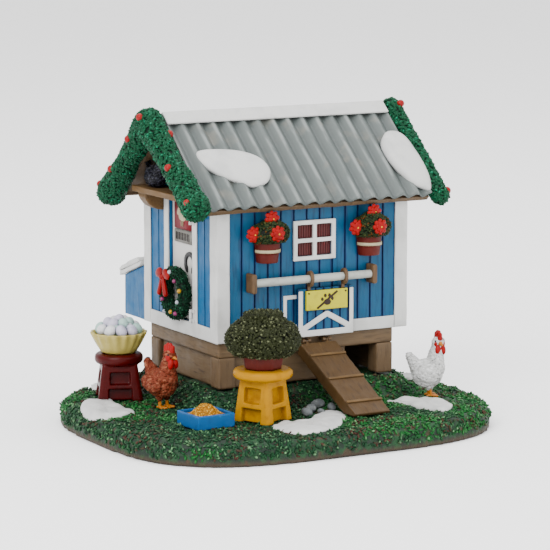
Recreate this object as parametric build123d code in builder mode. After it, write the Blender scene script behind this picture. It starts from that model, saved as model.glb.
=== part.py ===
from build123d import *
from math import cos, pi, radians, sin, tan
import os

os.makedirs("parts", exist_ok=True)

# Table-top chicken coop, in millimetres. +X runs along the long wall, the long
# wall with the sliding door faces -Y, the gable end with the door faces -X.
# The origin is under the middle of the whole piece, on the surface it stands on.

# Display base
BASE_HALF_X = 64.2
BASE_HALF_Y = 55.1
BASE_EXPONENT = 3.3
GROUND = 7.0
MOUND = 13.0
GROUND_EDGE_RADIUS = 4.0

BASE_Y = -3.2

# Place of the house on its base; every height below is given from HOUSE_Z
HOUSE_X = 10.2
HOUSE_Y = BASE_Y + 18.0
HOUSE_Z = 1.0

# House
BODY_X = 35.0
BODY_Y = 25.7
TRIM = 0.6
LOW_TRIM = 0.35
WALL = 2.8
SILL_BOTTOM = 28.0
SILL_TOP = 32.0
FLOOR_TOP = 30.5
BOARD_PITCH = 4.7
GROOVE = 0.55
CORNER_BOARD = 4.8

# Plinth
PLINTH_LEFT = -33.5
PLINTH_RIGHT = 30.5
PLINTH_HALF_Y = 24.0
BEAM_HEIGHT = 5.0
BEAM_WIDTH = 4.5
POST = 6.0

# Roof
SLOPE = 40.0
RIDGE_CREST = 98.5
EAVE_HALF_Y = 31.2
ROOF_HALF_X = 40.8
WAVES = 15
WAVE_HEIGHT = 0.8
SHEET = 0.7
DECK = 1.2
EAVE_LIP = 0.6
CAP = 0.75
CAP_FACE = 4.6

# Garlands: each end is (y, z, radius); the left one's legs are thinner halfway down
LEFT_GARLAND_X = -45.6
LEFT_GARLAND_TOP = (0, 96.2, 4.7)
LEFT_GARLAND_FEET = ((-31.9, 73.0, 4.5), (27.5, 71.3, 4.7))
LEFT_GARLAND_WAIST = 3.6
RIGHT_GARLAND_X = 44.2
RIGHT_GARLAND_TOP = (0, 97.1, 3.0)
RIGHT_GARLAND_FEET = ((-30.5, 71.0, 3.0), (27.5, 71.0, 3.0))
RIGHT_GARLAND_WAIST = 3.0
BERRY = 1.15

# Sliding door and its rail
RAIL_Z = 46.8
RAIL_Y = -27.9
RAIL_RADIUS = 1.3
RAIL_LEFT = -22.7
RAIL_RIGHT = 19.6
RAIL_BLOCK = 1.7
DOOR_LEFT = -6.3
DOOR_RIGHT = 13.8
DOOR_BOTTOM = 28.0
DOOR_TOP = 43.4
DOOR_BACK_Y = -25.7
DOOR_THICKNESS = 1.1
RING_X = (-2.6, 9.9)
HOLE_LEFT = -4.0
HOLE_RIGHT = 11.6
HOLE_TOP = 40.2

# Shelf over the gable door
SHELF_BOTTOM = 72.5

# Gable door
GABLE_DOOR_FRONT = 8.0
GABLE_DOOR_NEAR = -8.8
GABLE_DOOR_TOP = 72.0
GABLE_DOOR_BOTTOM = 32.5
DOOR_FACE_X = -33.3
GABLE_AXIS_X = -35.5

# Nest box
NEST_LEFT = -34.4
NEST_RIGHT = 6.0
NEST_DEPTH = 16.2
NEST_WALL = 1.3
NEST_TOP = 46.8
NEST_PITCH = 19.0
LID = 1.4
NEST_AXIS_Y = 26.6

# Ramp, a little askew: its foot stands to the right of its top
RAMP_TOP_X = (-5.9, 7.2)
RAMP_FOOT_X = (-2.9, 9.8)
RAMP_AXIS_Y = -26.3
RAMP_AXIS_Z = 26.6
RAMP_FOOT_Y = -57.0
RAMP_FOOT_Z = 8.2
RAMP_TREAD = 1.6
RAMP_SIDE_WIDTH = 1.5
RAMP_SIDE_DEPTH = 4.2
BATTENS = (7.4, 18.7, 30.2)

# Running fit on every hinge pin
PIN_PLAY = 0.06


def spot(x, y, z):
    """A point given from the middle of the house."""
    return (HOUSE_X + x, HOUSE_Y + y, HOUSE_Z + z)


def side_plane(x):
    """Across the house at x: sketch axes are Y and Z, extrusion runs to +X."""
    return Plane(origin=spot(x, 0, 0), x_dir=(0, 1, 0), z_dir=(1, 0, 0))


def long_plane(y):
    """Along the house at y: sketch axes are X and Z, extrusion runs to -Y."""
    return Plane(origin=spot(0, y, 0), x_dir=(1, 0, 0), z_dir=(0, -1, 0))


def block(x0, x1, y0, y1, z0, z1, mode=Mode.ADD):
    """A box between two corners given from the middle of the house."""
    with Locations(spot((x0 + x1) / 2, (y0 + y1) / 2, (z0 + z1) / 2)):
        Box(x1 - x0, y1 - y0, z1 - z0, mode=mode)


def ball(x, y, z, radius, mode=Mode.ADD):
    """A sphere at a point given from the middle of the house."""
    with Locations(spot(x, y, z)):
        Sphere(radius, mode=mode)


def along(start, end, radius_start, radius_end):
    """A tapered limb between two points given from the middle of the house."""
    a, b = Vector(*spot(*start)), Vector(*spot(*end))
    line = b - a
    with BuildPart() as limb:
        with Locations(Plane(origin=a, z_dir=line)):
            ends = (Align.CENTER, Align.CENTER, Align.MIN)
            if radius_start == radius_end:
                Cylinder(radius_start, line.length, align=ends)
            else:
                Cone(radius_start, radius_end, line.length, align=ends)
        with Locations(a):
            Sphere(radius_start)
        with Locations(b):
            Sphere(radius_end)
    return limb.part


MIDDLE = Plane(origin=spot(0, 0, 0), x_dir=(1, 0, 0), z_dir=(0, 1, 0))
SHEET_DEPTH = 2 * WAVE_HEIGHT + SHEET
ROOF_DEPTH = SHEET_DEPTH + DECK
RISE = tan(radians(SLOPE))
UNDER_RIDGE = RIDGE_CREST - ROOF_DEPTH / cos(radians(SLOPE))
DOWN = (0, -cos(radians(SLOPE)), -sin(radians(SLOPE)))
OUT = (0, -sin(radians(SLOPE)), cos(radians(SLOPE)))
SLOPE_LENGTH = EAVE_HALF_Y / cos(radians(SLOPE))
ROOF_FRONT = Plane(origin=spot(0, 0, RIDGE_CREST), x_dir=(1, 0, 0), z_dir=OUT)


def under_roof(y):
    """Height of the roof deck's underside at a distance y from the ridge."""
    return UNDER_RIDGE - abs(y) * RISE


# ---------------------------------------------------------------- display base


def base_outline():
    """Points round a rounded rectangle, a superellipse."""
    points = []
    for step in range(48):
        turn = 2 * pi * step / 48
        c, s = cos(turn), sin(turn)
        x = abs(c) ** (2 / BASE_EXPONENT) * (1 if c >= 0 else -1)
        y = abs(s) ** (2 / BASE_EXPONENT) * (1 if s >= 0 else -1)
        points.append((BASE_HALF_X * x, BASE_HALF_Y * y))
    return points


with BuildPart() as terrain_base:
    with BuildSketch(Plane(origin=(0, BASE_Y, 0))):
        with BuildLine():
            Spline(*base_outline(), periodic=True)
        make_face()
    extrude(amount=GROUND + HOUSE_Z)
    fillet(terrain_base.faces().sort_by(Axis.Z)[-1].edges(), GROUND_EDGE_RADIUS)
    # The earth is banked up round the plinth.
    with BuildSketch(Plane(origin=spot(-1.5, 0, GROUND - 0.5))):
        RectangleRounded(84, 68, 14)
    with BuildSketch(Plane(origin=spot(-1.5, 0, MOUND))):
        RectangleRounded(70, 53, 8)
    loft()
terrain_base.part.label = "terrain_base"
export_step(terrain_base.part, "parts/terrain_base.step")


def snow_patch(points, bottom, thickness):
    """A flat drift of snow."""
    with BuildPart() as patch:
        with BuildSketch(Plane(origin=spot(0, 0, bottom))):
            with BuildLine():
                Spline(*points, periodic=True)
            make_face()
        extrude(amount=thickness)
    return patch.part


# Outlines of the drifts beside the left rim, left of the ramp and right of it
SNOW = 0.9
RIM_DRIFT = [(-69.5, -5), (-65.5, 4.5), (-60.5, 3), (-61.5, -7), (-62.5, -20), (-66.5, -23.5)]
RIM_DRIFT += [(-69.5, -19)]
LEFT_DRIFT = [(-34.2, -59.9), (-30.4, -55.8), (-25, -58), (-18.3, -57.4), (-10.6, -51.3), (-5.8, -48.6)]
LEFT_DRIFT += [(-5.2, -51.7), (-7.4, -58.6), (-12.1, -64.9), (-19, -68), (-27, -68.6), (-34, -68.2)]
LEFT_DRIFT += [(-35.8, -64)]
RIGHT_DRIFT = [(17.2, -42), (22.1, -42.6), (28.9, -43.5), (33, -49.1), (33.1, -55.6), (29.9, -62.6)]
RIGHT_DRIFT += [(25.2, -66.6), (21.8, -66.7), (21.1, -62.3), (20.7, -54), (18.4, -48.7)]

with BuildPart() as ground_snow:
    for outline in (RIM_DRIFT, LEFT_DRIFT, RIGHT_DRIFT):
        add(snow_patch(outline, GROUND, SNOW))
ground_snow.part.label = "ground_snow"
export_step(ground_snow.part, "parts/ground_snow.step")

ROCKS = ((-4.5, -36.5, 2.3), (-9.5, -41, 1.9), (-2.0, -41.5, 1.6), (-13.5, -45, 1.7), (-8.3, -45.6, 1.3))

with BuildPart() as rocks:
    for x, y, radius in ROCKS:
        ball(x, y, GROUND + 0.2 * radius, radius)
    block(-30, 20, -60, -20, GROUND - 5, GROUND, mode=Mode.SUBTRACT)
rocks.part.label = "rocks"
export_step(rocks.part, "parts/rocks.step")

# ---------------------------------------------------------------- plinth

BEAM_BOTTOM = SILL_BOTTOM - BEAM_HEIGHT

with BuildPart() as plinth_posts:
    for x0 in (PLINTH_LEFT, PLINTH_RIGHT - POST):
        for y0 in (-PLINTH_HALF_Y, PLINTH_HALF_Y - POST):
            block(x0, x0 + POST, y0, y0 + POST, MOUND, BEAM_BOTTOM)
plinth_posts.part.label = "plinth_posts"
export_step(plinth_posts.part, "parts/plinth_posts.step")

with BuildPart() as sill_beams:
    block(PLINTH_LEFT, PLINTH_RIGHT, -PLINTH_HALF_Y, PLINTH_HALF_Y, BEAM_BOTTOM, SILL_BOTTOM)
    block(
        PLINTH_LEFT + BEAM_WIDTH,
        PLINTH_RIGHT - BEAM_WIDTH,
        BEAM_WIDTH - PLINTH_HALF_Y,
        PLINTH_HALF_Y - BEAM_WIDTH,
        BEAM_BOTTOM,
        SILL_BOTTOM,
        mode=Mode.SUBTRACT,
    )
sill_beams.part.label = "sill_beams"
export_step(sill_beams.part, "parts/sill_beams.step")

SKIRT_SETBACK = 1.4
SKIRT = 1.8
CRAWL_LEFT = 13.4

with BuildPart() as skirt_panels:
    for y0 in (SKIRT_SETBACK - PLINTH_HALF_Y, PLINTH_HALF_Y - SKIRT_SETBACK - SKIRT):
        block(PLINTH_LEFT + POST, PLINTH_RIGHT - POST, y0, y0 + SKIRT, MOUND, BEAM_BOTTOM)
    for x0 in (PLINTH_LEFT + SKIRT_SETBACK, PLINTH_RIGHT - SKIRT_SETBACK - SKIRT):
        block(x0, x0 + SKIRT, POST - PLINTH_HALF_Y, PLINTH_HALF_Y - POST, MOUND, BEAM_BOTTOM)
    # Crawl opening between the ramp and the corner post
    block(CRAWL_LEFT, PLINTH_RIGHT - POST, -24, -20, MOUND, BEAM_BOTTOM, mode=Mode.SUBTRACT)
skirt_panels.part.label = "skirt_panels"
export_step(skirt_panels.part, "parts/skirt_panels.step")

# ---------------------------------------------------------------- floor and walls

FACE_X = BODY_X - TRIM
FACE_Y = BODY_Y - TRIM
INNER_X = FACE_X - WALL
INNER_Y = FACE_Y - WALL
GROOVE_DEPTH = 0.5
BOARD_JOINTS = [(i + 0.5) * BOARD_PITCH for i in range(-6, 6)]
WINDOW = (-7.5, 8.0, 52.4, 65.3)
GLASS = (-6.1, 6.6, 53.8, 63.9)


def siding_groove(x, y0, y1):
    """A groove between two boards of a long wall."""
    block(x - GROOVE / 2, x + GROOVE / 2, y0, y1, 0, 90, mode=Mode.SUBTRACT)


with BuildPart() as floor_deck:
    block(-INNER_X, INNER_X, -INNER_Y, INNER_Y, SILL_BOTTOM, FLOOR_TOP)
floor_deck.part.label = "floor_deck"
export_step(floor_deck.part, "parts/floor_deck.step")

with BuildPart() as wall_front:
    with BuildSketch(side_plane(-FACE_X)):
        with BuildLine():
            Polyline(
                (-FACE_Y, SILL_BOTTOM),
                (-INNER_Y, SILL_BOTTOM),
                (-INNER_Y, under_roof(INNER_Y)),
                (-FACE_Y, under_roof(FACE_Y)),
                close=True,
            )
        make_face()
    extrude(amount=2 * FACE_X)
    for x in BOARD_JOINTS:
        siding_groove(x, -FACE_Y - 1, GROOVE_DEPTH - FACE_Y)
    # Hens' doorway and window
    block(HOLE_LEFT, HOLE_RIGHT, -FACE_Y - 1, 1 - INNER_Y, SILL_TOP, HOLE_TOP, mode=Mode.SUBTRACT)
    block(GLASS[0], GLASS[1], -FACE_Y - 1, 1 - INNER_Y, GLASS[2], GLASS[3], mode=Mode.SUBTRACT)
wall_front.part.label = "wall_front"
export_step(wall_front.part, "parts/wall_front.step")

NEST_DOORWAY = (-27.5, 2.5, 32.0, 42.0)

with BuildPart() as wall_back:
    with BuildSketch(side_plane(-FACE_X)):
        with BuildLine():
            Polyline(
                (FACE_Y, SILL_BOTTOM),
                (INNER_Y, SILL_BOTTOM),
                (INNER_Y, under_roof(INNER_Y)),
                (FACE_Y, under_roof(FACE_Y)),
                close=True,
            )
        make_face()
    extrude(amount=2 * FACE_X)
    for x in BOARD_JOINTS:
        siding_groove(x, FACE_Y - GROOVE_DEPTH, FACE_Y + 1)
    # Way through to the nest box
    x0, x1, z0, z1 = NEST_DOORWAY
    block(x0, x1, INNER_Y - 1, FACE_Y + 1, z0, z1, mode=Mode.SUBTRACT)
wall_back.part.label = "wall_back"
export_step(wall_back.part, "parts/wall_back.step")


def gable_outline():
    """Outline of a gable wall between the long walls."""
    return (
        (-INNER_Y, SILL_BOTTOM),
        (INNER_Y, SILL_BOTTOM),
        (INNER_Y, under_roof(INNER_Y)),
        (0, UNDER_RIDGE),
        (-INNER_Y, under_roof(INNER_Y)),
    )


with BuildPart() as wall_left:
    with BuildSketch(side_plane(-FACE_X)):
        with BuildLine():
            Polyline(*gable_outline(), close=True)
        make_face()
    extrude(amount=WALL)
    # Board joints run right down beside the door and stop above the shelf between
    for y, low in ((-16.5, SILL_TOP), (15.7, SILL_TOP), (-8, 75), (0, 75), (8, 75)):
        y0, y1 = y - GROOVE / 2, y + GROOVE / 2
        block(-FACE_X - 1, GROOVE_DEPTH - FACE_X, y0, y1, low, 99, mode=Mode.SUBTRACT)
    y0, y1 = GABLE_DOOR_NEAR, GABLE_DOOR_FRONT
    block(-FACE_X - 1, 1 - INNER_X, y0, y1, GABLE_DOOR_BOTTOM, GABLE_DOOR_TOP, mode=Mode.SUBTRACT)
wall_left.part.label = "wall_left"
export_step(wall_left.part, "parts/wall_left.step")

with BuildPart() as wall_right:
    with BuildSketch(side_plane(INNER_X)):
        with BuildLine():
            Polyline(*gable_outline(), close=True)
        make_face()
    extrude(amount=WALL)
    for i in range(-4, 5):
        y0, y1 = i * BOARD_PITCH - GROOVE / 2, i * BOARD_PITCH + GROOVE / 2
        block(FACE_X - GROOVE_DEPTH, FACE_X + 1, y0, y1, SILL_TOP, 99, mode=Mode.SUBTRACT)
wall_right.part.label = "wall_right"
export_step(wall_right.part, "parts/wall_right.step")

# ---------------------------------------------------------------- white trim

CORNER_TOP = under_roof(BODY_Y) - 0.1
BACK_CORNER_BOARD = 3.8
JAMB = 3.0

with BuildPart() as corner_boards:
    for x in (-1, 1):
        for y, flange in ((-1, CORNER_BOARD), (1, BACK_CORNER_BOARD)):
            x0, x1 = sorted((x * BODY_X, x * (BODY_X - flange)))
            y0, y1 = sorted((y * BODY_Y, y * (BODY_Y - CORNER_BOARD)))
            block(x0, x1, y0, y1, SILL_BOTTOM, CORNER_TOP)
    block(-FACE_X, FACE_X, -FACE_Y, FACE_Y, 0, 90, mode=Mode.SUBTRACT)
corner_boards.part.label = "corner_boards"
export_step(corner_boards.part, "parts/corner_boards.step")

with BuildPart() as wall_trim:
    # Boards along the foot of each wall
    half = BODY_X - CORNER_BOARD
    block(-half, half, -FACE_Y - LOW_TRIM, -FACE_Y, SILL_BOTTOM, SILL_TOP)
    block(NEST_RIGHT, BODY_X - BACK_CORNER_BOARD, FACE_Y, FACE_Y + LOW_TRIM, SILL_BOTTOM, SILL_TOP)
    reach = BODY_Y - CORNER_BOARD
    block(-BODY_X, -FACE_X, -reach, reach, SILL_BOTTOM, GABLE_DOOR_BOTTOM)
    block(FACE_X, BODY_X, -reach, reach, SILL_BOTTOM, SILL_TOP)
    # Jambs beside the gable door
    for y0 in (GABLE_DOOR_NEAR - JAMB, GABLE_DOOR_FRONT):
        block(-BODY_X, -FACE_X, y0, y0 + JAMB, GABLE_DOOR_BOTTOM, SHELF_BOTTOM)
wall_trim.part.label = "wall_trim"
export_step(wall_trim.part, "parts/wall_trim.step")

FRAME_BAR = 1.25

FRAME = (-10.9, 13.0, SILL_TOP, 41.5)

with BuildPart() as pop_hole_frame:
    block(FRAME[0], FRAME[1], -FACE_Y - LOW_TRIM, -FACE_Y, FRAME[2], FRAME[3])
    block(
        FRAME[0] + FRAME_BAR,
        FRAME[1] - FRAME_BAR,
        -FACE_Y - 1,
        -FACE_Y + 1,
        FRAME[2] - 1,
        FRAME[3] - FRAME_BAR,
        mode=Mode.SUBTRACT,
    )
pop_hole_frame.part.label = "pop_hole_frame"
export_step(pop_hole_frame.part, "parts/pop_hole_frame.step")

PANE_PITCH_X, PANE_PITCH_Z = 6.95, 5.7
PANE_X, PANE_Z = 5.6, 4.4
PLEATS = 14
PLEAT_PITCH = 0.9

with BuildPart() as window_frame:
    with BuildSketch(long_plane(-FACE_Y)):
        with BuildLine():
            Polyline(
                (WINDOW[0], WINDOW[2]),
                (WINDOW[1], WINDOW[2]),
                (WINDOW[1], WINDOW[3]),
                (WINDOW[0], WINDOW[3]),
                close=True,
            )
        make_face()
        with Locations(((WINDOW[0] + WINDOW[1]) / 2, (WINDOW[2] + WINDOW[3]) / 2)):
            with GridLocations(PANE_PITCH_X, PANE_PITCH_Z, 2, 2):
                Rectangle(PANE_X, PANE_Z, mode=Mode.SUBTRACT)
    extrude(amount=0.9)
    fillet(window_frame.faces().sort_by(Axis.Y)[0].outer_wire().edges(), 0.3)
window_frame.part.label = "window_frame"
export_step(window_frame.part, "parts/window_frame.step")

with BuildPart() as curtain:
    block(GLASS[0], GLASS[1], -FACE_Y + 0.5, -FACE_Y + 1.3, GLASS[2], GLASS[3])
    # Pleats
    for i in range(PLEATS):
        with Locations(spot(GLASS[0] + 0.5 + i * PLEAT_PITCH, -FACE_Y + 0.5, (GLASS[2] + GLASS[3]) / 2)):
            Cylinder(0.32, 9.6)
curtain.part.label = "curtain"
export_step(curtain.part, "parts/curtain.step")

# ---------------------------------------------------------------- roof


def corrugated_profile(half_width, thickness):
    """Wavy strip: the upper and the lower line of a corrugated sheet."""
    count = WAVES * 8
    upper, lower = [], []
    for i in range(count + 1):
        x = -half_width + 2 * half_width * i / count
        wave = WAVE_HEIGHT * (cos(2 * pi * i / 8) - 1)
        upper.append((x, wave))
        lower.append((x, wave - thickness))
    return upper, lower


with BuildPart() as roof_sheet_front:
    upper_line, lower_line = corrugated_profile(ROOF_HALF_X, SHEET)
    with BuildSketch(Plane(origin=spot(0, 0, RIDGE_CREST), x_dir=(1, 0, 0), z_dir=DOWN)):
        with BuildLine():
            Spline(*upper_line)
            Line(upper_line[-1], lower_line[-1])
            Spline(*lower_line)
            Line(lower_line[0], upper_line[0])
        make_face()
    extrude(amount=SLOPE_LENGTH)
    split(bisect_by=MIDDLE, keep=Keep.BOTTOM)
roof_sheet_front.part.label = "roof_sheet_front"
export_step(roof_sheet_front.part, "parts/roof_sheet_front.step")

with BuildPart() as roof_sheet_back:
    mirror(roof_sheet_front.part, about=MIDDLE)
roof_sheet_back.part.label = "roof_sheet_back"
export_step(roof_sheet_back.part, "parts/roof_sheet_back.step")

def on_slope(down, depth):
    """A point of the front slope, down from the ridge and into the roof, as Y and Z."""
    turn = radians(SLOPE)
    return (depth * sin(turn) - down * cos(turn), RIDGE_CREST - down * sin(turn) - depth * cos(turn))


with BuildPart() as roof_deck_front:
    with BuildSketch(side_plane(-ROOF_HALF_X)):
        with BuildLine():
            # The deck ends in a lip along the eave
            end = SLOPE_LENGTH - 0.2
            lip = end - 1.0
            Polyline(
                (0, RIDGE_CREST - SHEET_DEPTH / cos(radians(SLOPE))),
                on_slope(end, SHEET_DEPTH),
                on_slope(end, ROOF_DEPTH + EAVE_LIP),
                on_slope(lip, ROOF_DEPTH + EAVE_LIP),
                on_slope(lip, ROOF_DEPTH),
                (0, UNDER_RIDGE),
                close=True,
            )
        make_face()
    extrude(amount=2 * ROOF_HALF_X)
roof_deck_front.part.label = "roof_deck_front"
export_step(roof_deck_front.part, "parts/roof_deck_front.step")

with BuildPart() as roof_deck_back:
    mirror(roof_deck_front.part, about=MIDDLE)
roof_deck_back.part.label = "roof_deck_back"
export_step(roof_deck_back.part, "parts/roof_deck_back.step")

with BuildPart() as ridge_cap:
    with BuildSketch(side_plane(-ROOF_HALF_X)):
        with BuildLine():
            foot_y = CAP_FACE * cos(radians(SLOPE))
            peak = RIDGE_CREST + CAP / cos(radians(SLOPE))
            lift_y = CAP * sin(radians(SLOPE))
            lift_z = CAP * cos(radians(SLOPE))
            Polyline(
                (0, RIDGE_CREST),
                (foot_y, RIDGE_CREST - foot_y * RISE),
                (foot_y + lift_y, RIDGE_CREST - foot_y * RISE + lift_z),
                (0, peak),
                (-foot_y - lift_y, RIDGE_CREST - foot_y * RISE + lift_z),
                (-foot_y, RIDGE_CREST - foot_y * RISE),
                close=True,
            )
        make_face()
    extrude(amount=2 * ROOF_HALF_X)
ridge_cap.part.label = "ridge_cap"
export_step(ridge_cap.part, "parts/ridge_cap.step")


def roof_drift(points):
    """Snow lying on the front slope: points are across and down the slope."""
    with BuildPart() as drift:
        with BuildSketch(ROOF_FRONT):
            with BuildLine():
                Spline(*points, periodic=True)
            make_face()
        extrude(amount=SNOW)
    return drift.part


OVAL_DRIFT = [(-35.4, -17), (-29.2, -16.2), (-20.3, -17.6), (-14.3, -21.2), (-12.9, -26.6)]
OVAL_DRIFT += [(-15.9, -31.5), (-21.3, -32.9), (-25.7, -30.7), (-30.8, -27.7), (-35.2, -22.2)]
VERGE_DRIFT = [(34, -15), (36.5, -13.2), (39.2, -13.2), (40.3, -17), (40.5, -25), (40.5, -33), (40, -39.2)]
VERGE_DRIFT += [(38.3, -38.4), (35.4, -36.3), (33.6, -32.5), (32.2, -28.9), (31.3, -24), (31.6, -18.7)]

with BuildPart() as roof_snow:
    add(roof_drift(OVAL_DRIFT))
    add(roof_drift(VERGE_DRIFT))
roof_snow.part.label = "roof_snow"
export_step(roof_snow.part, "parts/roof_snow.step")

# ---------------------------------------------------------------- garlands

def leg_point(top, foot, waist, share):
    """Centre and radius of a garland's leg at a share of the way down."""
    y = foot[0] * share
    z = top[1] + (foot[1] - top[1]) * share
    end = top[2] if share < 0.5 else foot[2]
    return y, z, waist + (end - waist) * abs(share - 0.5) * 2


def garland(x, top, feet, waist):
    """An upturned V of greenery with rounded ends."""
    with BuildPart() as greenery:
        for foot in feet:
            if waist == foot[2]:
                add(along((x, top[0], top[1]), (x, foot[0], foot[1]), top[2], foot[2]))
            else:
                y, z, radius = leg_point(top, foot, waist, 0.5)
                add(along((x, top[0], top[1]), (x, y, z), top[2], radius))
                add(along((x, y, z), (x, foot[0], foot[1]), radius, foot[2]))
    return greenery.part


def berries(x, top, feet, waist, outward):
    """Berries along both legs, half sunk in the greenery."""
    with BuildPart() as beads:
        for foot in feet:
            for i in range(5):
                y, z, radius = leg_point(top, foot, waist, 0.06 + 0.21 * i)
                lean = radians(-35 if i % 2 else 15)
                ball(x + outward * radius * cos(lean), y, z - radius * sin(lean), BERRY)
    return beads.part


LEFT_GARLAND = (LEFT_GARLAND_X, LEFT_GARLAND_TOP, LEFT_GARLAND_FEET, LEFT_GARLAND_WAIST)
RIGHT_GARLAND = (RIGHT_GARLAND_X, RIGHT_GARLAND_TOP, RIGHT_GARLAND_FEET, RIGHT_GARLAND_WAIST)

with BuildPart() as garland_left:
    add(garland(*LEFT_GARLAND))
garland_left.part.label = "garland_left"
export_step(garland_left.part, "parts/garland_left.step")

with BuildPart() as garland_right:
    add(garland(*RIGHT_GARLAND))
garland_right.part.label = "garland_right"
export_step(garland_right.part, "parts/garland_right.step")

with BuildPart() as garland_berries:
    add(berries(*LEFT_GARLAND, -1))
    add(berries(*RIGHT_GARLAND, 1))
garland_berries.part.label = "garland_berries"
export_step(garland_berries.part, "parts/garland_berries.step")

# ---------------------------------------------------------------- shelf and roosting hen

SHELF = 1.9
SHELF_TOP = SHELF_BOTTOM + SHELF
CORBEL = 5.0

with BuildPart() as roost_shelf:
    block(-43.2, -FACE_X, -20.0, 17.4, SHELF_BOTTOM, SHELF_TOP)
    # Two rounded corbels carry it
    for y in (-17.0, 11.4):
        with BuildSketch(Plane(origin=spot(-FACE_X, y, SHELF_BOTTOM), x_dir=(-1, 0, 0), z_dir=(0, 1, 0))):
            with BuildLine():
                Line((0, 0), (7.0, 0))
                Line((7.0, 0), (7.0, -1.6))
                ThreePointArc((7.0, -1.6), (4.6, -4.7), (0, -6.0))
                Line((0, -6.0), (0, 0))
            make_face()
        extrude(amount=CORBEL)
roost_shelf.part.label = "roost_shelf"
export_step(roost_shelf.part, "parts/roost_shelf.step")

ROOST = (-39.0, 7.5)

with BuildPart() as roosting_hen:
    x, y = ROOST
    with BuildSketch(Plane(origin=spot(x, y, SHELF_TOP))):
        Ellipse(3.0, 4.6)
    with BuildSketch(Plane(origin=spot(x, y, SHELF_TOP + 3.4))):
        Ellipse(3.6, 5.6)
    with BuildSketch(Plane(origin=spot(x, y - 0.4, SHELF_TOP + 6.8))):
        Ellipse(2.2, 3.6)
    loft()
    # Neck and head
    ball(x - 0.2, y - 3.4, SHELF_TOP + 6.6, 2.4)
    ball(x - 0.4, y - 4.6, SHELF_TOP + 8.7, 1.7)
roosting_hen.part.label = "roosting_hen"
export_step(roosting_hen.part, "parts/roosting_hen.step")

# ---------------------------------------------------------------- gable door

DOOR_Y0 = GABLE_DOOR_NEAR + 0.25
DOOR_Y1 = GABLE_DOOR_FRONT - 0.25
DOOR_Z0 = GABLE_DOOR_BOTTOM + 0.25
DOOR_Z1 = GABLE_DOOR_TOP - 0.25
DOOR_MID_Y = (DOOR_Y0 + DOOR_Y1) / 2
GABLE_HINGE_Z = (34.8, 66.0)
KNUCKLE = 0.5
GABLE_PIN = 0.22


def upright_knuckle(z0, z1, bore):
    """One round knuckle on the gable door's hinge line."""
    with Locations(spot(GABLE_AXIS_X, GABLE_DOOR_NEAR, (z0 + z1) / 2)):
        Cylinder(KNUCKLE, z1 - z0)
        Cylinder(bore, z1 - z0, mode=Mode.SUBTRACT)


with BuildPart() as gable_door_panel:
    block(DOOR_FACE_X, DOOR_FACE_X + 1.5, DOOR_Y0, DOOR_Y1, DOOR_Z0, DOOR_Z1)
gable_door_panel.part.label = "gable_door_panel"
export_step(gable_door_panel.part, "parts/gable_door_panel.step")

with BuildPart() as gable_door_leaves:
    for z in GABLE_HINGE_Z:
        block(GABLE_AXIS_X, DOOR_FACE_X, DOOR_Y0, DOOR_Y0 + 0.35, z - 0.9, z + 0.9)
        block(DOOR_FACE_X - 0.3, DOOR_FACE_X, DOOR_Y0, DOOR_Y0 + 1.6, z - 0.9, z + 0.9)
        block(GABLE_AXIS_X - 0.2, GABLE_AXIS_X + 0.2, GABLE_DOOR_NEAR, DOOR_Y0 + 0.35, z - 0.9, z + 0.9)
        upright_knuckle(z - 0.9, z + 0.9, GABLE_PIN + PIN_PLAY)
gable_door_leaves.part.label = "gable_door_leaves"
export_step(gable_door_leaves.part, "parts/gable_door_leaves.step")

with BuildPart() as gable_jamb_leaves:
    for z in GABLE_HINGE_Z:
        for z0 in (z - 2.0, z + 1.0):
            block(-BODY_X - 0.3, -BODY_X, GABLE_DOOR_NEAR - 2.0, GABLE_DOOR_NEAR, z0, z0 + 1.0)
            upright_knuckle(z0, z0 + 1.0, GABLE_PIN)
            block(GABLE_AXIS_X, -BODY_X, GABLE_DOOR_NEAR - 0.45, GABLE_DOOR_NEAR - 0.25, z0, z0 + 1.0)

with BuildPart() as door_plaque:
    block(DOOR_FACE_X - 0.5, DOOR_FACE_X, DOOR_MID_Y - 5.9, DOOR_MID_Y + 5.9, 61.4, 71.0)
    block(DOOR_FACE_X - 0.5, DOOR_FACE_X, DOOR_MID_Y - 5.9, DOOR_MID_Y + 5.9, 57.0, 61.2)
door_plaque.part.label = "door_plaque"
export_step(door_plaque.part, "parts/door_plaque.step")

HORSESHOE = 3.6
HORSESHOE_Y, HORSESHOE_Z = -4.6, 51.0

with BuildPart() as horseshoe:
    face = Plane(origin=spot(DOOR_FACE_X, HORSESHOE_Y, HORSESHOE_Z), x_dir=(0, -1, 0), z_dir=(-1, 0, 0))
    with BuildSketch(face):
        Circle(HORSESHOE)
        Circle(HORSESHOE * 0.61, mode=Mode.SUBTRACT)
        with Locations((0, -HORSESHOE * 0.84)):
            Rectangle(HORSESHOE * 0.84, HORSESHOE * 0.78, mode=Mode.SUBTRACT)
    extrude(amount=0.6)
horseshoe.part.label = "horseshoe"
export_step(horseshoe.part, "parts/horseshoe.step")

WREATH_Z = 40.9
WREATH_RING = 6.4
WREATH_TUBE = 2.3
WREATH_X = DOOR_FACE_X - WREATH_TUBE - 1.0
HOOK = 0.6

with BuildPart() as wreath:
    with Locations(Plane(origin=spot(WREATH_X, DOOR_MID_Y, WREATH_Z), x_dir=(0, 1, 0), z_dir=(1, 0, 0))):
        Torus(WREATH_RING, WREATH_TUBE)
    # Peg between the ring's top and the door
    peg_z = WREATH_Z + WREATH_RING
    block(DOOR_FACE_X - 1.6, DOOR_FACE_X, DOOR_MID_Y - HOOK, DOOR_MID_Y + HOOK, peg_z - HOOK, peg_z + HOOK)
wreath.part.label = "wreath"
export_step(wreath.part, "parts/wreath.step")

BOW_Y = DOOR_MID_Y + 4.2
BOW_Z = WREATH_Z + 5.0
BOW_X = WREATH_X - WREATH_TUBE

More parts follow.
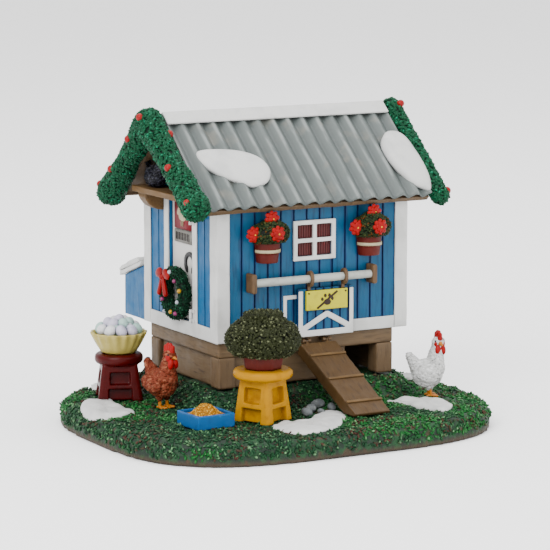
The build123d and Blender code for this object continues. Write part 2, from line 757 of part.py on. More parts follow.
with BuildPart() as wreath_ornaments:
    for turn in (20, 90, 150, 200, 255, 310):
        y = DOOR_MID_Y + WREATH_RING * cos(radians(turn))
        z = WREATH_Z + WREATH_RING * sin(radians(turn))
        ball(BOW_X + 0.2, y, z, 0.65)
    # Bow: a knot, two loops and two tails
    ball(BOW_X, BOW_Y, BOW_Z, 1.1)
    for side in (-1, 1):
        with Locations(spot(BOW_X, BOW_Y + side * 2.0, BOW_Z + 0.8)):
            Box(1.0, 3.2, 2.4)
        with Locations(spot(BOW_X, BOW_Y + side * 1.0, BOW_Z - 2.4)):
            Box(0.6, 1.5, 4.2)
wreath_ornaments.part.label = "wreath_ornaments"
export_step(wreath_ornaments.part, "parts/wreath_ornaments.step")

# ---------------------------------------------------------------- sliding door

with BuildPart() as door_rail:
    with Locations(Plane(origin=spot(0, 0, 0), x_dir=(0, 1, 0), z_dir=(1, 0, 0))):
        with Locations((RAIL_Y, RAIL_Z, (RAIL_LEFT + RAIL_RIGHT) / 2)):
            Cylinder(RAIL_RADIUS, RAIL_RIGHT - RAIL_LEFT)
door_rail.part.label = "door_rail"
export_step(door_rail.part, "parts/door_rail.step")

with BuildPart() as rail_blocks:
    for x0 in (RAIL_LEFT - RAIL_BLOCK, RAIL_RIGHT):
        block(x0, x0 + RAIL_BLOCK, RAIL_Y - 1.7, -FACE_Y, RAIL_Z - 3.1, RAIL_Z + 3.1)
    fillet(rail_blocks.edges().filter_by(Axis.Y), 0.5)
rail_blocks.part.label = "rail_blocks"
export_step(rail_blocks.part, "parts/rail_blocks.step")

DOOR_FRONT_Y = DOOR_BACK_Y - DOOR_THICKNESS

with BuildPart() as pop_door_panel:
    block(DOOR_LEFT, DOOR_RIGHT, DOOR_FRONT_Y, DOOR_BACK_Y, DOOR_BOTTOM, DOOR_TOP)
    for i in range(-1, 5):
        siding_groove(i * 3.0, DOOR_FRONT_Y - 1, DOOR_FRONT_Y + 0.4)
pop_door_panel.part.label = "pop_door_panel"
export_step(pop_door_panel.part, "parts/pop_door_panel.step")

STILE_TOP = 42.8
STILE_INNER = (-4.8, 12.4)

with BuildPart() as pop_door_trim:
    # A foot rail, two stiles and two braces that meet under the sign
    with BuildSketch(long_plane(DOOR_FRONT_Y)):
        with BuildLine():
            Polyline(
                (DOOR_LEFT, DOOR_BOTTOM),
                (DOOR_RIGHT, DOOR_BOTTOM),
                (DOOR_RIGHT, STILE_TOP),
                (STILE_INNER[1], STILE_TOP),
                (STILE_INNER[1], 31.4),
                (4.6, 35.8),
                (3.6, 35.8),
                (STILE_INNER[0], 31.4),
                (STILE_INNER[0], STILE_TOP),
                (DOOR_LEFT, STILE_TOP),
                close=True,
            )
        make_face()
        with BuildLine():
            Polyline((-3.7, 30.0), (11.3, 30.0), (4.1, 34.0), close=True)
        make_face(mode=Mode.SUBTRACT)
    extrude(amount=0.45)
pop_door_trim.part.label = "pop_door_trim"
export_step(pop_door_trim.part, "parts/pop_door_trim.step")

RING_WIDTH = 1.1
STRAP = 0.5

with BuildPart() as door_hangers:
    # An oval ring runs on the rail and a strap joins it to the top of the door
    for x in RING_X:
        with BuildSketch(side_plane(x - RING_WIDTH / 2)):
            with Locations((RAIL_Y, RAIL_Z)):
                Ellipse(RAIL_RADIUS + 0.6, RAIL_RADIUS * 2)
            with Locations((DOOR_FRONT_Y - STRAP / 2, 44.3)):
                Rectangle(STRAP, 2.8)
            with Locations((RAIL_Y, RAIL_Z)):
                Circle(RAIL_RADIUS + PIN_PLAY, mode=Mode.SUBTRACT)
        extrude(amount=RING_WIDTH)
door_hangers.part.label = "door_hangers"
export_step(door_hangers.part, "parts/door_hangers.step")

SIGN = (-3.8, 11.3, 36.5, 42.8)
SIGN_FACE = DOOR_FRONT_Y - 1.0

with BuildPart() as warning_sign:
    block(SIGN[0], SIGN[1], SIGN_FACE, DOOR_FRONT_Y, SIGN[2], SIGN[3])
warning_sign.part.label = "warning_sign"
export_step(warning_sign.part, "parts/warning_sign.step")

with BuildPart() as sign_marks:
    # A paw print with a bar across it, and two nail heads
    with BuildSketch(long_plane(SIGN_FACE)):
        with Locations((3.75, 38.9)):
            Ellipse(1.25, 0.95)
        for x, z in ((1.9, 39.9), (3.0, 41.0), (4.5, 41.0), (5.6, 39.9)):
            with Locations((x, z)):
                Ellipse(0.42, 0.58)
        with Locations(Location((3.75, 39.6), 35)):
            Rectangle(9.0, 0.6)
        for x in (SIGN[0] + 0.8, SIGN[1] - 0.8):
            with Locations((x, SIGN[3] - 0.8)):
                Circle(0.28)
    extrude(amount=0.2)
sign_marks.part.label = "sign_marks"
export_step(sign_marks.part, "parts/sign_marks.step")

# ---------------------------------------------------------------- wall baskets

BASKETS = ((-17.3, 53.0), (20.0, 52.8))
TUB_OFFSET = 1.0
TUB_HEIGHT = 6.4
BUSH_BALLS = ((0, -3.4, 9.8, 4.6), (-3.2, -2.8, 9.2, 3.6), (3.2, -2.8, 9.2, 3.6))
FLOWERS = ((-5.6, 9.4, 5.0), (1.0, 13.2, 5.2), (2.2, 9.4, 7.2))


def half_pot(x, z):
    """A cut tub: a tapered round tub with its flat back on the wall."""
    middle = -FACE_Y - TUB_OFFSET
    with BuildPart() as tub:
        with BuildSketch(Plane(origin=spot(x, middle, z))):
            Circle(3.5)
        with BuildSketch(Plane(origin=spot(x, middle, z + TUB_HEIGHT))):
            Circle(4.25)
        loft()
        # Painted hoop, just proud of the staves
        with Locations(spot(x, middle, z + 3.8)):
            Cylinder(4.12, 1.4)
        block(x - 9, x + 9, -FACE_Y, 9 - FACE_Y, z - 1, z + 9, mode=Mode.SUBTRACT)
    return tub.part


def bush(x, z):
    """A rounded bush that sits on a tub and leans on the wall."""
    with BuildPart() as leaves:
        for dx, dy, dz, radius in BUSH_BALLS:
            ball(x + dx, -FACE_Y + dy, z + dz, radius)
        block(x - 9, x + 9, -FACE_Y, 12 - FACE_Y, z, z + 20, mode=Mode.SUBTRACT)
        block(x - 9, x + 9, -FACE_Y - 12, -FACE_Y, z, z + TUB_HEIGHT, mode=Mode.SUBTRACT)
    return leaves.part


with BuildPart() as wall_tubs:
    for x, z in BASKETS:
        add(half_pot(x, z))
wall_tubs.part.label = "wall_tubs"
export_step(wall_tubs.part, "parts/wall_tubs.step")

with BuildPart() as wall_bushes:
    for x, z in BASKETS:
        add(bush(x, z))
wall_bushes.part.label = "wall_bushes"
export_step(wall_bushes.part, "parts/wall_bushes.step")

with BuildPart() as wall_flowers:
    for x, z in BASKETS:
        for dx, dz, out in FLOWERS:
            with BuildSketch(long_plane(-FACE_Y - out)):
                with Locations((x + dx, z + dz)):
                    Circle(0.8)
                    with PolarLocations(1.15, 6):
                        Circle(0.78)
            extrude(amount=1.0)
wall_flowers.part.label = "wall_flowers"
export_step(wall_flowers.part, "parts/wall_flowers.step")

# ---------------------------------------------------------------- nest box

NEST_END_Y = FACE_Y + NEST_DEPTH
NEST_FALL = tan(radians(NEST_PITCH))


def nest_top(y):
    """Height of the nest box's sloping rim."""
    return NEST_TOP - (y - FACE_Y) * NEST_FALL


with BuildPart() as nest_box:
    with BuildSketch(side_plane(NEST_LEFT)):
        with BuildLine():
            Polyline(
                (FACE_Y, SILL_BOTTOM),
                (NEST_END_Y, SILL_BOTTOM),
                (NEST_END_Y, nest_top(NEST_END_Y)),
                (FACE_Y, NEST_TOP),
                close=True,
            )
        make_face()
    extrude(amount=NEST_RIGHT - NEST_LEFT)
    block(
        NEST_LEFT + NEST_WALL,
        NEST_RIGHT - NEST_WALL,
        FACE_Y - 1,
        NEST_END_Y - NEST_WALL,
        SILL_BOTTOM + NEST_WALL,
        60,
        mode=Mode.SUBTRACT,
    )
    # Notch round the house's corner board
    notch = BACK_CORNER_BOARD - BODY_X + 0.1
    block(-BODY_X - 1, notch, FACE_Y - 0.1, BODY_Y + 0.1, 0, 60, mode=Mode.SUBTRACT)
nest_box.part.label = "nest_box"
export_step(nest_box.part, "parts/nest_box.step")

NEST_AXIS_Z = nest_top(NEST_AXIS_Y) + 1.0
NEST_KNUCKLE = 0.75
NEST_PIN = 0.35
NEST_KNUCKLES = ((-29.5, -25.5), (-1.5, 2.5))
LID_GAP = 0.15


def level_knuckle(x0, x1, y, z, radius, bore):
    """One round knuckle on a hinge line that runs along X."""
    with Locations(Plane(origin=spot((x0 + x1) / 2, y, z), x_dir=(0, 1, 0), z_dir=(1, 0, 0))):
        Cylinder(radius, x1 - x0)
        Cylinder(bore, x1 - x0, mode=Mode.SUBTRACT)


with BuildPart() as nest_lid:
    with BuildSketch(side_plane(NEST_LEFT - 1.0)):
        with BuildLine():
            near, far = NEST_AXIS_Y + 1.0, NEST_END_Y + 2.0
            skin = LID / cos(radians(NEST_PITCH))
            Polyline(
                (near, nest_top(near) + LID_GAP),
                (far, nest_top(far) + LID_GAP),
                (far, nest_top(far) + LID_GAP + skin),
                (near, nest_top(near) + LID_GAP + skin),
                close=True,
            )
        make_face()
    extrude(amount=NEST_RIGHT - NEST_LEFT + 2.0)
    for x0, x1 in NEST_KNUCKLES:
        block(x0 + 1.1, x1 - 1.1, NEST_AXIS_Y, near + 0.5, nest_top(near) + 0.35, nest_top(near) + 1.35)
        level_knuckle(x0 + 1.1, x1 - 1.1, NEST_AXIS_Y, NEST_AXIS_Z, NEST_KNUCKLE, NEST_PIN + PIN_PLAY)
nest_lid.part.label = "nest_lid"
export_step(nest_lid.part, "parts/nest_lid.step")

with BuildPart() as nest_hinges:
    for x0, x1 in NEST_KNUCKLES:
        for a, b in ((x0, x0 + 1.0), (x1 - 1.0, x1)):
            block(a, b, FACE_Y, NEST_AXIS_Y, NEST_AXIS_Z - 0.3, NEST_AXIS_Z + 0.3)
            block(a, b, FACE_Y, FACE_Y + 0.4, NEST_AXIS_Z - 0.8, NEST_AXIS_Z + 2.4)
            level_knuckle(a, b, NEST_AXIS_Y, NEST_AXIS_Z, NEST_KNUCKLE, NEST_PIN)

with BuildPart() as lid_snow:
    with BuildSketch(side_plane(NEST_LEFT - 1.2)):
        with BuildLine():
            Polyline(
                (near + 1.2, nest_top(near + 1.2) + LID_GAP + skin),
                (far + 0.2, nest_top(far + 0.2) + LID_GAP + skin),
                (far + 0.2, nest_top(far + 0.2) + LID_GAP + skin + 0.9),
                (far - 1.5, nest_top(far - 1.5) + LID_GAP + skin + 1.8),
                (near + 2.0, nest_top(near + 2.0) + LID_GAP + skin + 1.8),
                close=True,
            )
        make_face()
    extrude(amount=NEST_RIGHT - NEST_LEFT + 2.4)
lid_snow.part.label = "lid_snow"
export_step(lid_snow.part, "parts/lid_snow.step")

# ---------------------------------------------------------------- ramp

RAMP_RUN = RAMP_AXIS_Y - RAMP_FOOT_Y
RAMP_DROP = RAMP_AXIS_Z - RAMP_FOOT_Z
RAMP_LENGTH = (RAMP_RUN**2 + RAMP_DROP**2) ** 0.5
RAMP_PLANE = Plane(
    origin=spot(0, RAMP_AXIS_Y, RAMP_AXIS_Z),
    x_dir=(1, 0, 0),
    z_dir=(0, -RAMP_DROP / RAMP_LENGTH, RAMP_RUN / RAMP_LENGTH),
)
RAMP_KNUCKLE = 0.65
RAMP_PIN = 0.35
RAMP_KNUCKLES = ((-4.6, -1.6), (2.8, 5.8))

RAMP_START = 1.1


def ramp_x(down, side):
    """Place of the ramp's left (0) or right (1) edge at a distance down the slope."""
    return RAMP_TOP_X[side] + (RAMP_FOOT_X[side] - RAMP_TOP_X[side]) * down / RAMP_LENGTH


with BuildPart() as ramp_board:
    ends = (RAMP_START, RAMP_LENGTH)
    with BuildSketch(RAMP_PLANE):
        with BuildLine():
            Polyline(
                (ramp_x(ends[0], 0), -ends[0]),
                (ramp_x(ends[1], 0), -ends[1]),
                (ramp_x(ends[1], 1), -ends[1]),
                (ramp_x(ends[0], 1), -ends[0]),
                close=True,
            )
        make_face()
    extrude(amount=-RAMP_TREAD)
    # Side boards under both edges
    with BuildSketch(RAMP_PLANE):
        for side, inset in ((0, RAMP_SIDE_WIDTH), (1, -RAMP_SIDE_WIDTH)):
            with BuildLine():
                Polyline(
                    (ramp_x(ends[0], side), -ends[0]),
                    (ramp_x(ends[1], side), -ends[1]),
                    (ramp_x(ends[1], side) + inset, -ends[1]),
                    (ramp_x(ends[0], side) + inset, -ends[0]),
                    close=True,
                )
            make_face()
    extrude(amount=-RAMP_SIDE_DEPTH)
    # The foot is cut level so that it lies on the ground
    block(-20, 20, -70, -40, 0, GROUND + 0.2, mode=Mode.SUBTRACT)
    for x0, x1 in RAMP_KNUCKLES:
        block(x0 + 1.1, x1 - 1.1, RAMP_AXIS_Y - 1.2, RAMP_AXIS_Y, RAMP_AXIS_Z - 1.4, RAMP_AXIS_Z - 0.45)
        level_knuckle(x0 + 1.1, x1 - 1.1, RAMP_AXIS_Y, RAMP_AXIS_Z, RAMP_KNUCKLE, RAMP_PIN + PIN_PLAY)
ramp_board.part.label = "ramp_board"
export_step(ramp_board.part, "parts/ramp_board.step")

BATTEN = 0.9

with BuildPart() as ramp_battens:
    with BuildSketch(RAMP_PLANE):
        for down in BATTENS:
            width = ramp_x(down, 1) - ramp_x(down, 0)
            with Locations((ramp_x(down, 0) + width / 2, -down)):
                Rectangle(width, BATTEN)
    extrude(amount=0.6)
ramp_battens.part.label = "ramp_battens"
export_step(ramp_battens.part, "parts/ramp_battens.step")

with BuildPart() as ramp_hinges:
    for x0, x1 in RAMP_KNUCKLES:
        for a, b in ((x0, x0 + 1.0), (x1 - 1.0, x1)):
            block(a, b, RAMP_AXIS_Y, -PLINTH_HALF_Y, RAMP_AXIS_Z - 0.35, RAMP_AXIS_Z + 0.35)
            level_knuckle(a, b, RAMP_AXIS_Y, RAMP_AXIS_Z, RAMP_KNUCKLE, RAMP_PIN)

with BuildPart() as fixed_hinge_leaves:
    add(gable_jamb_leaves.part)
    add(nest_hinges.part)
    add(ramp_hinges.part)
fixed_hinge_leaves.part.label = "fixed_hinge_leaves"
export_step(fixed_hinge_leaves.part, "parts/fixed_hinge_leaves.step")


def level_pin(x0, x1, y, z, radius):
    """A hinge pin that runs along X."""
    with Locations(Plane(origin=spot((x0 + x1) / 2, y, z), x_dir=(0, 1, 0), z_dir=(1, 0, 0))):
        Cylinder(radius, x1 - x0)


with BuildPart() as hinge_pins:
    for z in GABLE_HINGE_Z:
        with Locations(spot(GABLE_AXIS_X, GABLE_DOOR_NEAR, z)):
            Cylinder(GABLE_PIN, 4.0)
    for x0, x1 in NEST_KNUCKLES:
        level_pin(x0, x1, NEST_AXIS_Y, NEST_AXIS_Z, NEST_PIN)
    for x0, x1 in RAMP_KNUCKLES:
        level_pin(x0, x1, RAMP_AXIS_Y, RAMP_AXIS_Z, RAMP_PIN)
hinge_pins.part.label = "hinge_pins"
export_step(hinge_pins.part, "parts/hinge_pins.step")

# ---------------------------------------------------------------- stools


def stool_seat(x, y, z, radius, thickness):
    """A round seat with a fat rounded edge."""
    with BuildPart() as seat:
        with Locations(spot(x, y, z + thickness / 2)):
            Cylinder(radius, thickness)
        fillet(seat.edges(), thickness * 0.42)
    return seat.part


RECESS = 4.6


def stool_stand(x, y, z_top, half_top, half_foot, turn):
    """Four splayed legs with a rung between them, round a deeply recessed core."""
    height = z_top - GROUND
    place = Plane(origin=spot(x, y, GROUND)).rotated((0, 0, turn))
    with BuildPart() as stand:
        with BuildSketch(place):
            RectangleRounded(2 * half_foot, 2 * half_foot, 1.2)
        with BuildSketch(place.offset(height)):
            RectangleRounded(2 * half_top, 2 * half_top, 1.0)
        loft()
        wide = half_foot * 1.05
        with Locations(place.offset(height * 0.17)):
            Box(wide, 4 * half_foot, height * 0.34, mode=Mode.SUBTRACT)
            Box(4 * half_foot, wide, height * 0.34, mode=Mode.SUBTRACT)
        with Locations(place.offset(height * 0.63)):
            Box(wide * 0.85, 4 * half_foot, height * 0.36, mode=Mode.SUBTRACT)
            Box(4 * half_foot, wide * 0.85, height * 0.36, mode=Mode.SUBTRACT)
    with BuildPart() as core:
        with BuildSketch(place):
            RectangleRounded(2 * half_foot - RECESS, 2 * half_foot - RECESS, 1.0)
        with BuildSketch(place.offset(height)):
            RectangleRounded(2 * half_top - RECESS, 2 * half_top - RECESS, 0.8)
        loft()
        add(stand.part)
    return core.part


RED_STOOL = (-52.5, 8.8)
RED_SEAT_BOTTOM = 18.2
RED_SEAT = 3.5

with BuildPart() as red_stool:
    add(stool_seat(*RED_STOOL, RED_SEAT_BOTTOM, 7.8, RED_SEAT))
    add(stool_stand(*RED_STOOL, RED_SEAT_BOTTOM, 5.7, 7.3, -22))
red_stool.part.label = "red_stool"
export_step(red_stool.part, "parts/red_stool.step")

YELLOW_STOOL = (-29.4, -45.5)
YELLOW_SEAT_BOTTOM = 20.4
YELLOW_SEAT = 3.0

with BuildPart() as yellow_stool:
    add(stool_seat(*YELLOW_STOOL, YELLOW_SEAT_BOTTOM, 9.2, YELLOW_SEAT))
    add(stool_stand(*YELLOW_STOOL, YELLOW_SEAT_BOTTOM, 5.3, 6.8, 26))
yellow_stool.part.label = "yellow_stool"
export_step(yellow_stool.part, "parts/yellow_stool.step")

BOWL_BOTTOM = RED_SEAT_BOTTOM + RED_SEAT
BOWL_TOP = 28.6

with BuildPart() as egg_bowl:
    with BuildSketch(Plane(origin=spot(*RED_STOOL, 0), x_dir=(1, 0, 0), z_dir=(0, -1, 0))):
        with BuildLine():
            Polyline(
                (0, BOWL_BOTTOM),
                (5.2, BOWL_BOTTOM),
                (7.6, BOWL_BOTTOM + 3.6),
                (9.0, BOWL_TOP - 0.6),
                (9.0, BOWL_TOP),
                (8.0, BOWL_TOP),
                (6.6, BOWL_BOTTOM + 3.8),
                (4.6, BOWL_BOTTOM + 1.2),
                (0, BOWL_BOTTOM + 1.2),
                close=True,
            )
        make_face()
    revolve(axis=Axis(spot(*RED_STOOL, 0), (0, 0, 1)))
egg_bowl.part.label = "egg_bowl"
export_step(egg_bowl.part, "parts/egg_bowl.step")

EGG = 2.0
EGG_RINGS = ((6.1, 10, 0.9), (3.4, 6, 2.6), (0, 1, 3.3))

with BuildPart() as eggs:
    x, y = RED_STOOL
    with Locations(spot(x, y, BOWL_TOP - 0.6)):
        Cone(6.3, 3.8, 3.9, align=(Align.CENTER, Align.CENTER, Align.MIN))
    for ring, count, lift in EGG_RINGS:
        with Locations(spot(x, y, BOWL_TOP + lift)):
            with PolarLocations(ring, count, start_angle=23):
                Sphere(EGG)
eggs.part.label = "eggs"
export_step(eggs.part, "parts/eggs.step")

POT_BOTTOM = YELLOW_SEAT_BOTTOM + YELLOW_SEAT
POT_TOP = 27.6
SHRUB_TOP = 41.0

with BuildPart() as shrub_pot:
    with BuildSketch(Plane(origin=spot(*YELLOW_STOOL, POT_BOTTOM))):
        RegularPolygon(5.9, 8)
    with BuildSketch(Plane(origin=spot(*YELLOW_STOOL, POT_TOP))):
        RegularPolygon(6.6, 8)
    loft()
shrub_pot.part.label = "shrub_pot"
export_step(shrub_pot.part, "parts/shrub_pot.step")

with BuildPart() as shrub:
    with BuildSketch(Plane(origin=spot(*YELLOW_STOOL, 0), x_dir=(1, 0, 0), z_dir=(0, -1, 0))):
        with BuildLine():
            Line((0, POT_TOP), (7.0, POT_TOP))
            Spline(
                (7.0, POT_TOP),
                (10.9, 30.2),
                (10.4, 35.8),
                (5.6, 40.2),
                (0, SHRUB_TOP),
                tangents=((1, 0.1), (-1, 0)),
            )
            Line((0, SHRUB_TOP), (0, POT_TOP))
        make_face()
    revolve(axis=Axis(spot(*YELLOW_STOOL, 0), (0, 0, 1)))
shrub.part.label = "shrub"
export_step(shrub.part, "parts/shrub.step")

# ---------------------------------------------------------------- feed tray

TRAY = Plane(origin=spot(-48.4, -43.8, GROUND)).rotated((0, 0, 3))
TRAY_X, TRAY_Y, TRAY_Z = 13.1, 13.1, 4.4

with BuildPart() as feed_tray:
    with Locations(TRAY.offset(TRAY_Z / 2)):
        Box(TRAY_X, TRAY_Y, TRAY_Z)
    with Locations(TRAY.offset(TRAY_Z / 2 + 1.0)):
        Box(TRAY_X - 1.8, TRAY_Y - 1.8, TRAY_Z, mode=Mode.SUBTRACT)
feed_tray.part.label = "feed_tray"
export_step(feed_tray.part, "parts/feed_tray.step")

with BuildPart() as feed_grain:
    with BuildSketch(TRAY.offset(1.0)):
        Rectangle(TRAY_X - 1.8, TRAY_Y - 1.8)
    with BuildSketch(TRAY.offset(3.2)):
        Rectangle(TRAY_X - 1.8, TRAY_Y - 1.8)
    loft()
    with BuildSketch(TRAY.offset(3.2)):
        Ellipse(5.2, 5.4)
    with BuildSketch(TRAY.offset(6.4)):
        Ellipse(1.3, 1.9)
    loft()
feed_grain.part.label = "feed_grain"
export_step(feed_grain.part, "parts/feed_grain.step")

# ---------------------------------------------------------------- hens


BROWN = (-48.6, -13.3)

BROWN_LEAN = (1.6, -0.9)

with BuildPart() as brown_hen:
    x, y = BROWN[0] + BROWN_LEAN[0], BROWN[1] + BROWN_LEAN[1]
    # Body, neck and tail
    add(along((x - 0.6, y + 1.2, 14.4), (x + 0.4, y - 1.4, 17.0), 4.8, 4.3))
    add(along((x + 0.4, y - 1.4, 17.0), (x + 0.2, y - 2.2, 24.6), 4.3, 2.3))
    add(along((x - 1.6, y + 2.6, 15.4), (x - 3.6, y + 4.2, 22.0), 3.0, 1.2))
    # Comb and wattles
    for dy, dz in ((-3.4, 2.7), (-2.2, 3.2), (-0.8, 2.6)):
        ball(x + 0.2, y + dy, 24.6 + dz, 0.95)
    for dx in (-0.3, 0.7):
        ball(x + dx, y - 4.7, 22.4, 0.9)
    # Legs and feet
    x, y = BROWN
    for dx in (-1.5, 1.7):
        add(along((x + dx, y - 0.8, 11.2), (x + dx, y - 1.6, 8.2), 0.9, 0.7))
        block(x + dx - 1.2, x + dx + 1.2, y - 4.2, y - 0.4, GROUND, 8.0)
brown_hen.part.label = "brown_hen"
export_step(brown_hen.part, "parts/brown_hen.step")

WHITE = (36.0, -38.5)

with BuildPart() as white_hen:
    x, y = WHITE
    # Body, neck and tail
    ball(x - 2.4, y + 0.6, 15.0, 4.2)
    ball(x + 0.9, y - 0.3, 15.8, 4.6)
    add(along((x + 1.2, y - 0.4, 17.6), (x + 2.6, y - 1.0, 25.0), 3.9, 1.9))
    add(along((x - 3.4, y + 0.9, 16.4), (x - 7.2, y + 1.8, 21.8), 3.0, 1.1))
    # Comb and wattle
    for dx, dz in ((-0.9, 2.0), (0.0, 2.5), (0.9, 2.1)):
        ball(x + 2.6 + dx, y - 1.2, 25.0 + dz, 0.95)
    ball(x + 3.0, y - 2.6, 22.4, 1.0)
    # Legs and feet
    for dx, dy in ((-1.4, 1.1), (1.2, -0.9)):
        add(along((x + dx, y + dy, 11.8), (x + dx + 0.3, y + dy, 8.0), 0.7, 0.5))
        block(x + dx - 0.9, x + dx + 2.9, y + dy - 1.0, y + dy + 1.0, GROUND, 7.9)
white_hen.part.label = "white_hen"
export_step(white_hen.part, "parts/white_hen.step")
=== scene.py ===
import math

import bmesh
import bpy
import numpy as np
from mathutils import Euler, Matrix, Vector, noise
from mathutils.bvhtree import BVHTree


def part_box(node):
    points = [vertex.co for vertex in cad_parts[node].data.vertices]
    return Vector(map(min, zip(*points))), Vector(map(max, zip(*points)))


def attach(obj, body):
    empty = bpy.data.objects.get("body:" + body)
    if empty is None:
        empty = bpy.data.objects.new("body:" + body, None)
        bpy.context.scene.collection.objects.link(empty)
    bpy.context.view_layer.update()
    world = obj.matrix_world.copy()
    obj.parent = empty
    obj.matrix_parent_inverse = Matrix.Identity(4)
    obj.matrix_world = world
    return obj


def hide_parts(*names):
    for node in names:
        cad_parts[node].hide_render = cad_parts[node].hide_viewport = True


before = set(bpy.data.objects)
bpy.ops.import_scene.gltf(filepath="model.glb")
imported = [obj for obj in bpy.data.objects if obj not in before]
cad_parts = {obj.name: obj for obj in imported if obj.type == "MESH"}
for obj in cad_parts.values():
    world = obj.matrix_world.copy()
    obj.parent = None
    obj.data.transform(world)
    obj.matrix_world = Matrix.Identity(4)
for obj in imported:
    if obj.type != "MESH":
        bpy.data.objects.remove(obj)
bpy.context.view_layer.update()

RNG = np.random.default_rng(7)
MM = 0.001

# The house's own middle: every place below is in millimetres from it.
LONG_LOW, LONG_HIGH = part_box("wall_front")
BACK_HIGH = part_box("wall_back")[1]
SILL_BOTTOM = 28.0
HOUSE = Vector(
    (
        (LONG_LOW.x + LONG_HIGH.x) / 2,
        (LONG_LOW.y + BACK_HIGH.y) / 2,
        LONG_LOW.z - SILL_BOTTOM * MM,
    )
)
FACE_Y = (HOUSE.y - LONG_LOW.y) / MM
GROUND = (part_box("rocks")[0].z - HOUSE.z) / MM


def at(x, y, z):
    """A place in metres, from millimetres measured from the house's middle."""
    return HOUSE + Vector((x, y, z)) * MM


def middle(node):
    """Centre of a CAD node, in millimetres from the house's middle."""
    low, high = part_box(node)
    return ((low + high) / 2 - HOUSE) / MM


# ------------------------------------------------------------------ materials

# Paint codes are deepened to suit the studio light: how much more vivid they are made,
# and the share of their brightness that dark and pale ones keep.
SATURATION = 1.35
DARK_SHARE, PALE_SHARE = 0.33, 0.62


def srgb(code):
    """Linear colour of a #RRGGBB code, deepened to suit the bright studio light."""
    parts = [int(code[i : i + 2], 16) / 255 for i in (1, 3, 5)]
    linear = [c / 12.92 if c <= 0.04045 else ((c + 0.055) / 1.055) ** 2.4 for c in parts]
    grey = 0.21 * linear[0] + 0.72 * linear[1] + 0.07 * linear[2]
    share = DARK_SHARE + (PALE_SHARE - DARK_SHARE) * min(grey / 0.75, 1.0)
    return tuple(max(grey + (c - grey) * SATURATION, 0.001) * share for c in linear) + (1.0,)


class Paint:
    """A node material that is built up coat by coat on object coordinates."""

    def __init__(self, name, roughness=0.5, specular=0.25):
        self.material = bpy.data.materials.new(name)
        self.material.use_nodes = True
        self.tree = self.material.node_tree
        self.shader = self.tree.nodes["Principled BSDF"]
        self.shader.inputs["Roughness"].default_value = roughness
        self.shader.inputs["Specular IOR Level"].default_value = specular
        self.place = self.tree.nodes.new("ShaderNodeTexCoord").outputs["Object"]
        self.colour = None
        self.height = None

    def node(self, kind, **inputs):
        made = self.tree.nodes.new(kind)
        for key, value in inputs.items():
            self.feed(made.inputs[key.replace("_", " ")], value)
        return made

    def feed(self, socket, value):
        if isinstance(value, bpy.types.NodeSocket):
            self.tree.links.new(value, socket)
        else:
            socket.default_value = value

    def stretched(self, scale):
        """Coordinates stretched by (x, y, z)."""
        return self.node("ShaderNodeMapping", Vector=self.place, Scale=scale).outputs["Vector"]

    def noise(self, per_mm, detail=3.0, vector=None):
        settings = {"Vector": vector or self.place, "Scale": per_mm / MM, "Detail": detail}
        return self.node("ShaderNodeTexNoise", **settings).outputs["Fac"]

    def ramp(self, value, low, high):
        """0 below low, 1 above high."""
        made = self.node("ShaderNodeMapRange", Value=value, From_Min=low, From_Max=high)
        made.interpolation_type = "SMOOTHSTEP"
        return made.outputs["Result"]

    def maths(self, what, a, b=0.0):
        made = self.tree.nodes.new("ShaderNodeMath")
        made.operation = what
        self.feed(made.inputs[0], a)
        self.feed(made.inputs[1], b)
        return made.outputs[0]

    def attribute(self, name):
        made = self.tree.nodes.new("ShaderNodeAttribute")
        made.attribute_name = name
        return made.outputs["Fac"]

    def axis(self, letter):
        """One coordinate in millimetres."""
        split = self.node("ShaderNodeSeparateXYZ", Vector=self.place)
        return self.maths("MULTIPLY", split.outputs[letter], 1 / MM)

    def hollow_shade(self, reach):
        """1 in corners and grooves, where shade falls, 0 in the open; every coat laid with it is painted
        shade. reach is in millimetres.
        """
        made = self.node("ShaderNodeAmbientOcclusion", Distance=reach * MM)
        made.samples = 6
        return self.maths("SUBTRACT", 1.0, made.outputs["AO"])

    def coat(self, code, mask=None, strength=1.0):
        """Lays a colour over what is there, where the mask is 1."""
        colour = srgb(code) if isinstance(code, str) else code
        if self.colour is None:
            self.colour = colour
            return
        if strength != 1.0:
            mask = self.maths("MULTIPLY", mask, strength)
        mix = self.tree.nodes.new("ShaderNodeMix")
        mix.data_type = "RGBA"
        self.feed(mix.inputs["Factor"], mask)
        self.feed(mix.inputs["A"], self.colour)
        self.feed(mix.inputs["B"], colour)
        self.colour = mix.outputs["Result"]

    def relief(self, value, depth):
        """Adds bump, with its depth in millimetres."""
        scaled = self.maths("MULTIPLY", value, depth)
        self.height = scaled if self.height is None else self.maths("ADD", self.height, scaled)

    def done(self):
        self.feed(self.shader.inputs["Base Color"], self.colour)
        if self.height is not None:
            bump = self.node("ShaderNodeBump", Distance=MM, Strength=1.0, Height=self.height)
            self.feed(self.shader.inputs["Normal"], bump.outputs["Normal"])
        return self.material


def gloss_variation(p, low, high):
    """Roughness that wanders between two values, as brushed paint does."""
    span = {"From_Min": 0.3, "From_Max": 0.7, "To_Min": low, "To_Max": high}
    wander = p.node("ShaderNodeMapRange", Value=p.noise(0.25, 2.0), **span)
    p.feed(p.shader.inputs["Roughness"], wander.outputs["Result"])


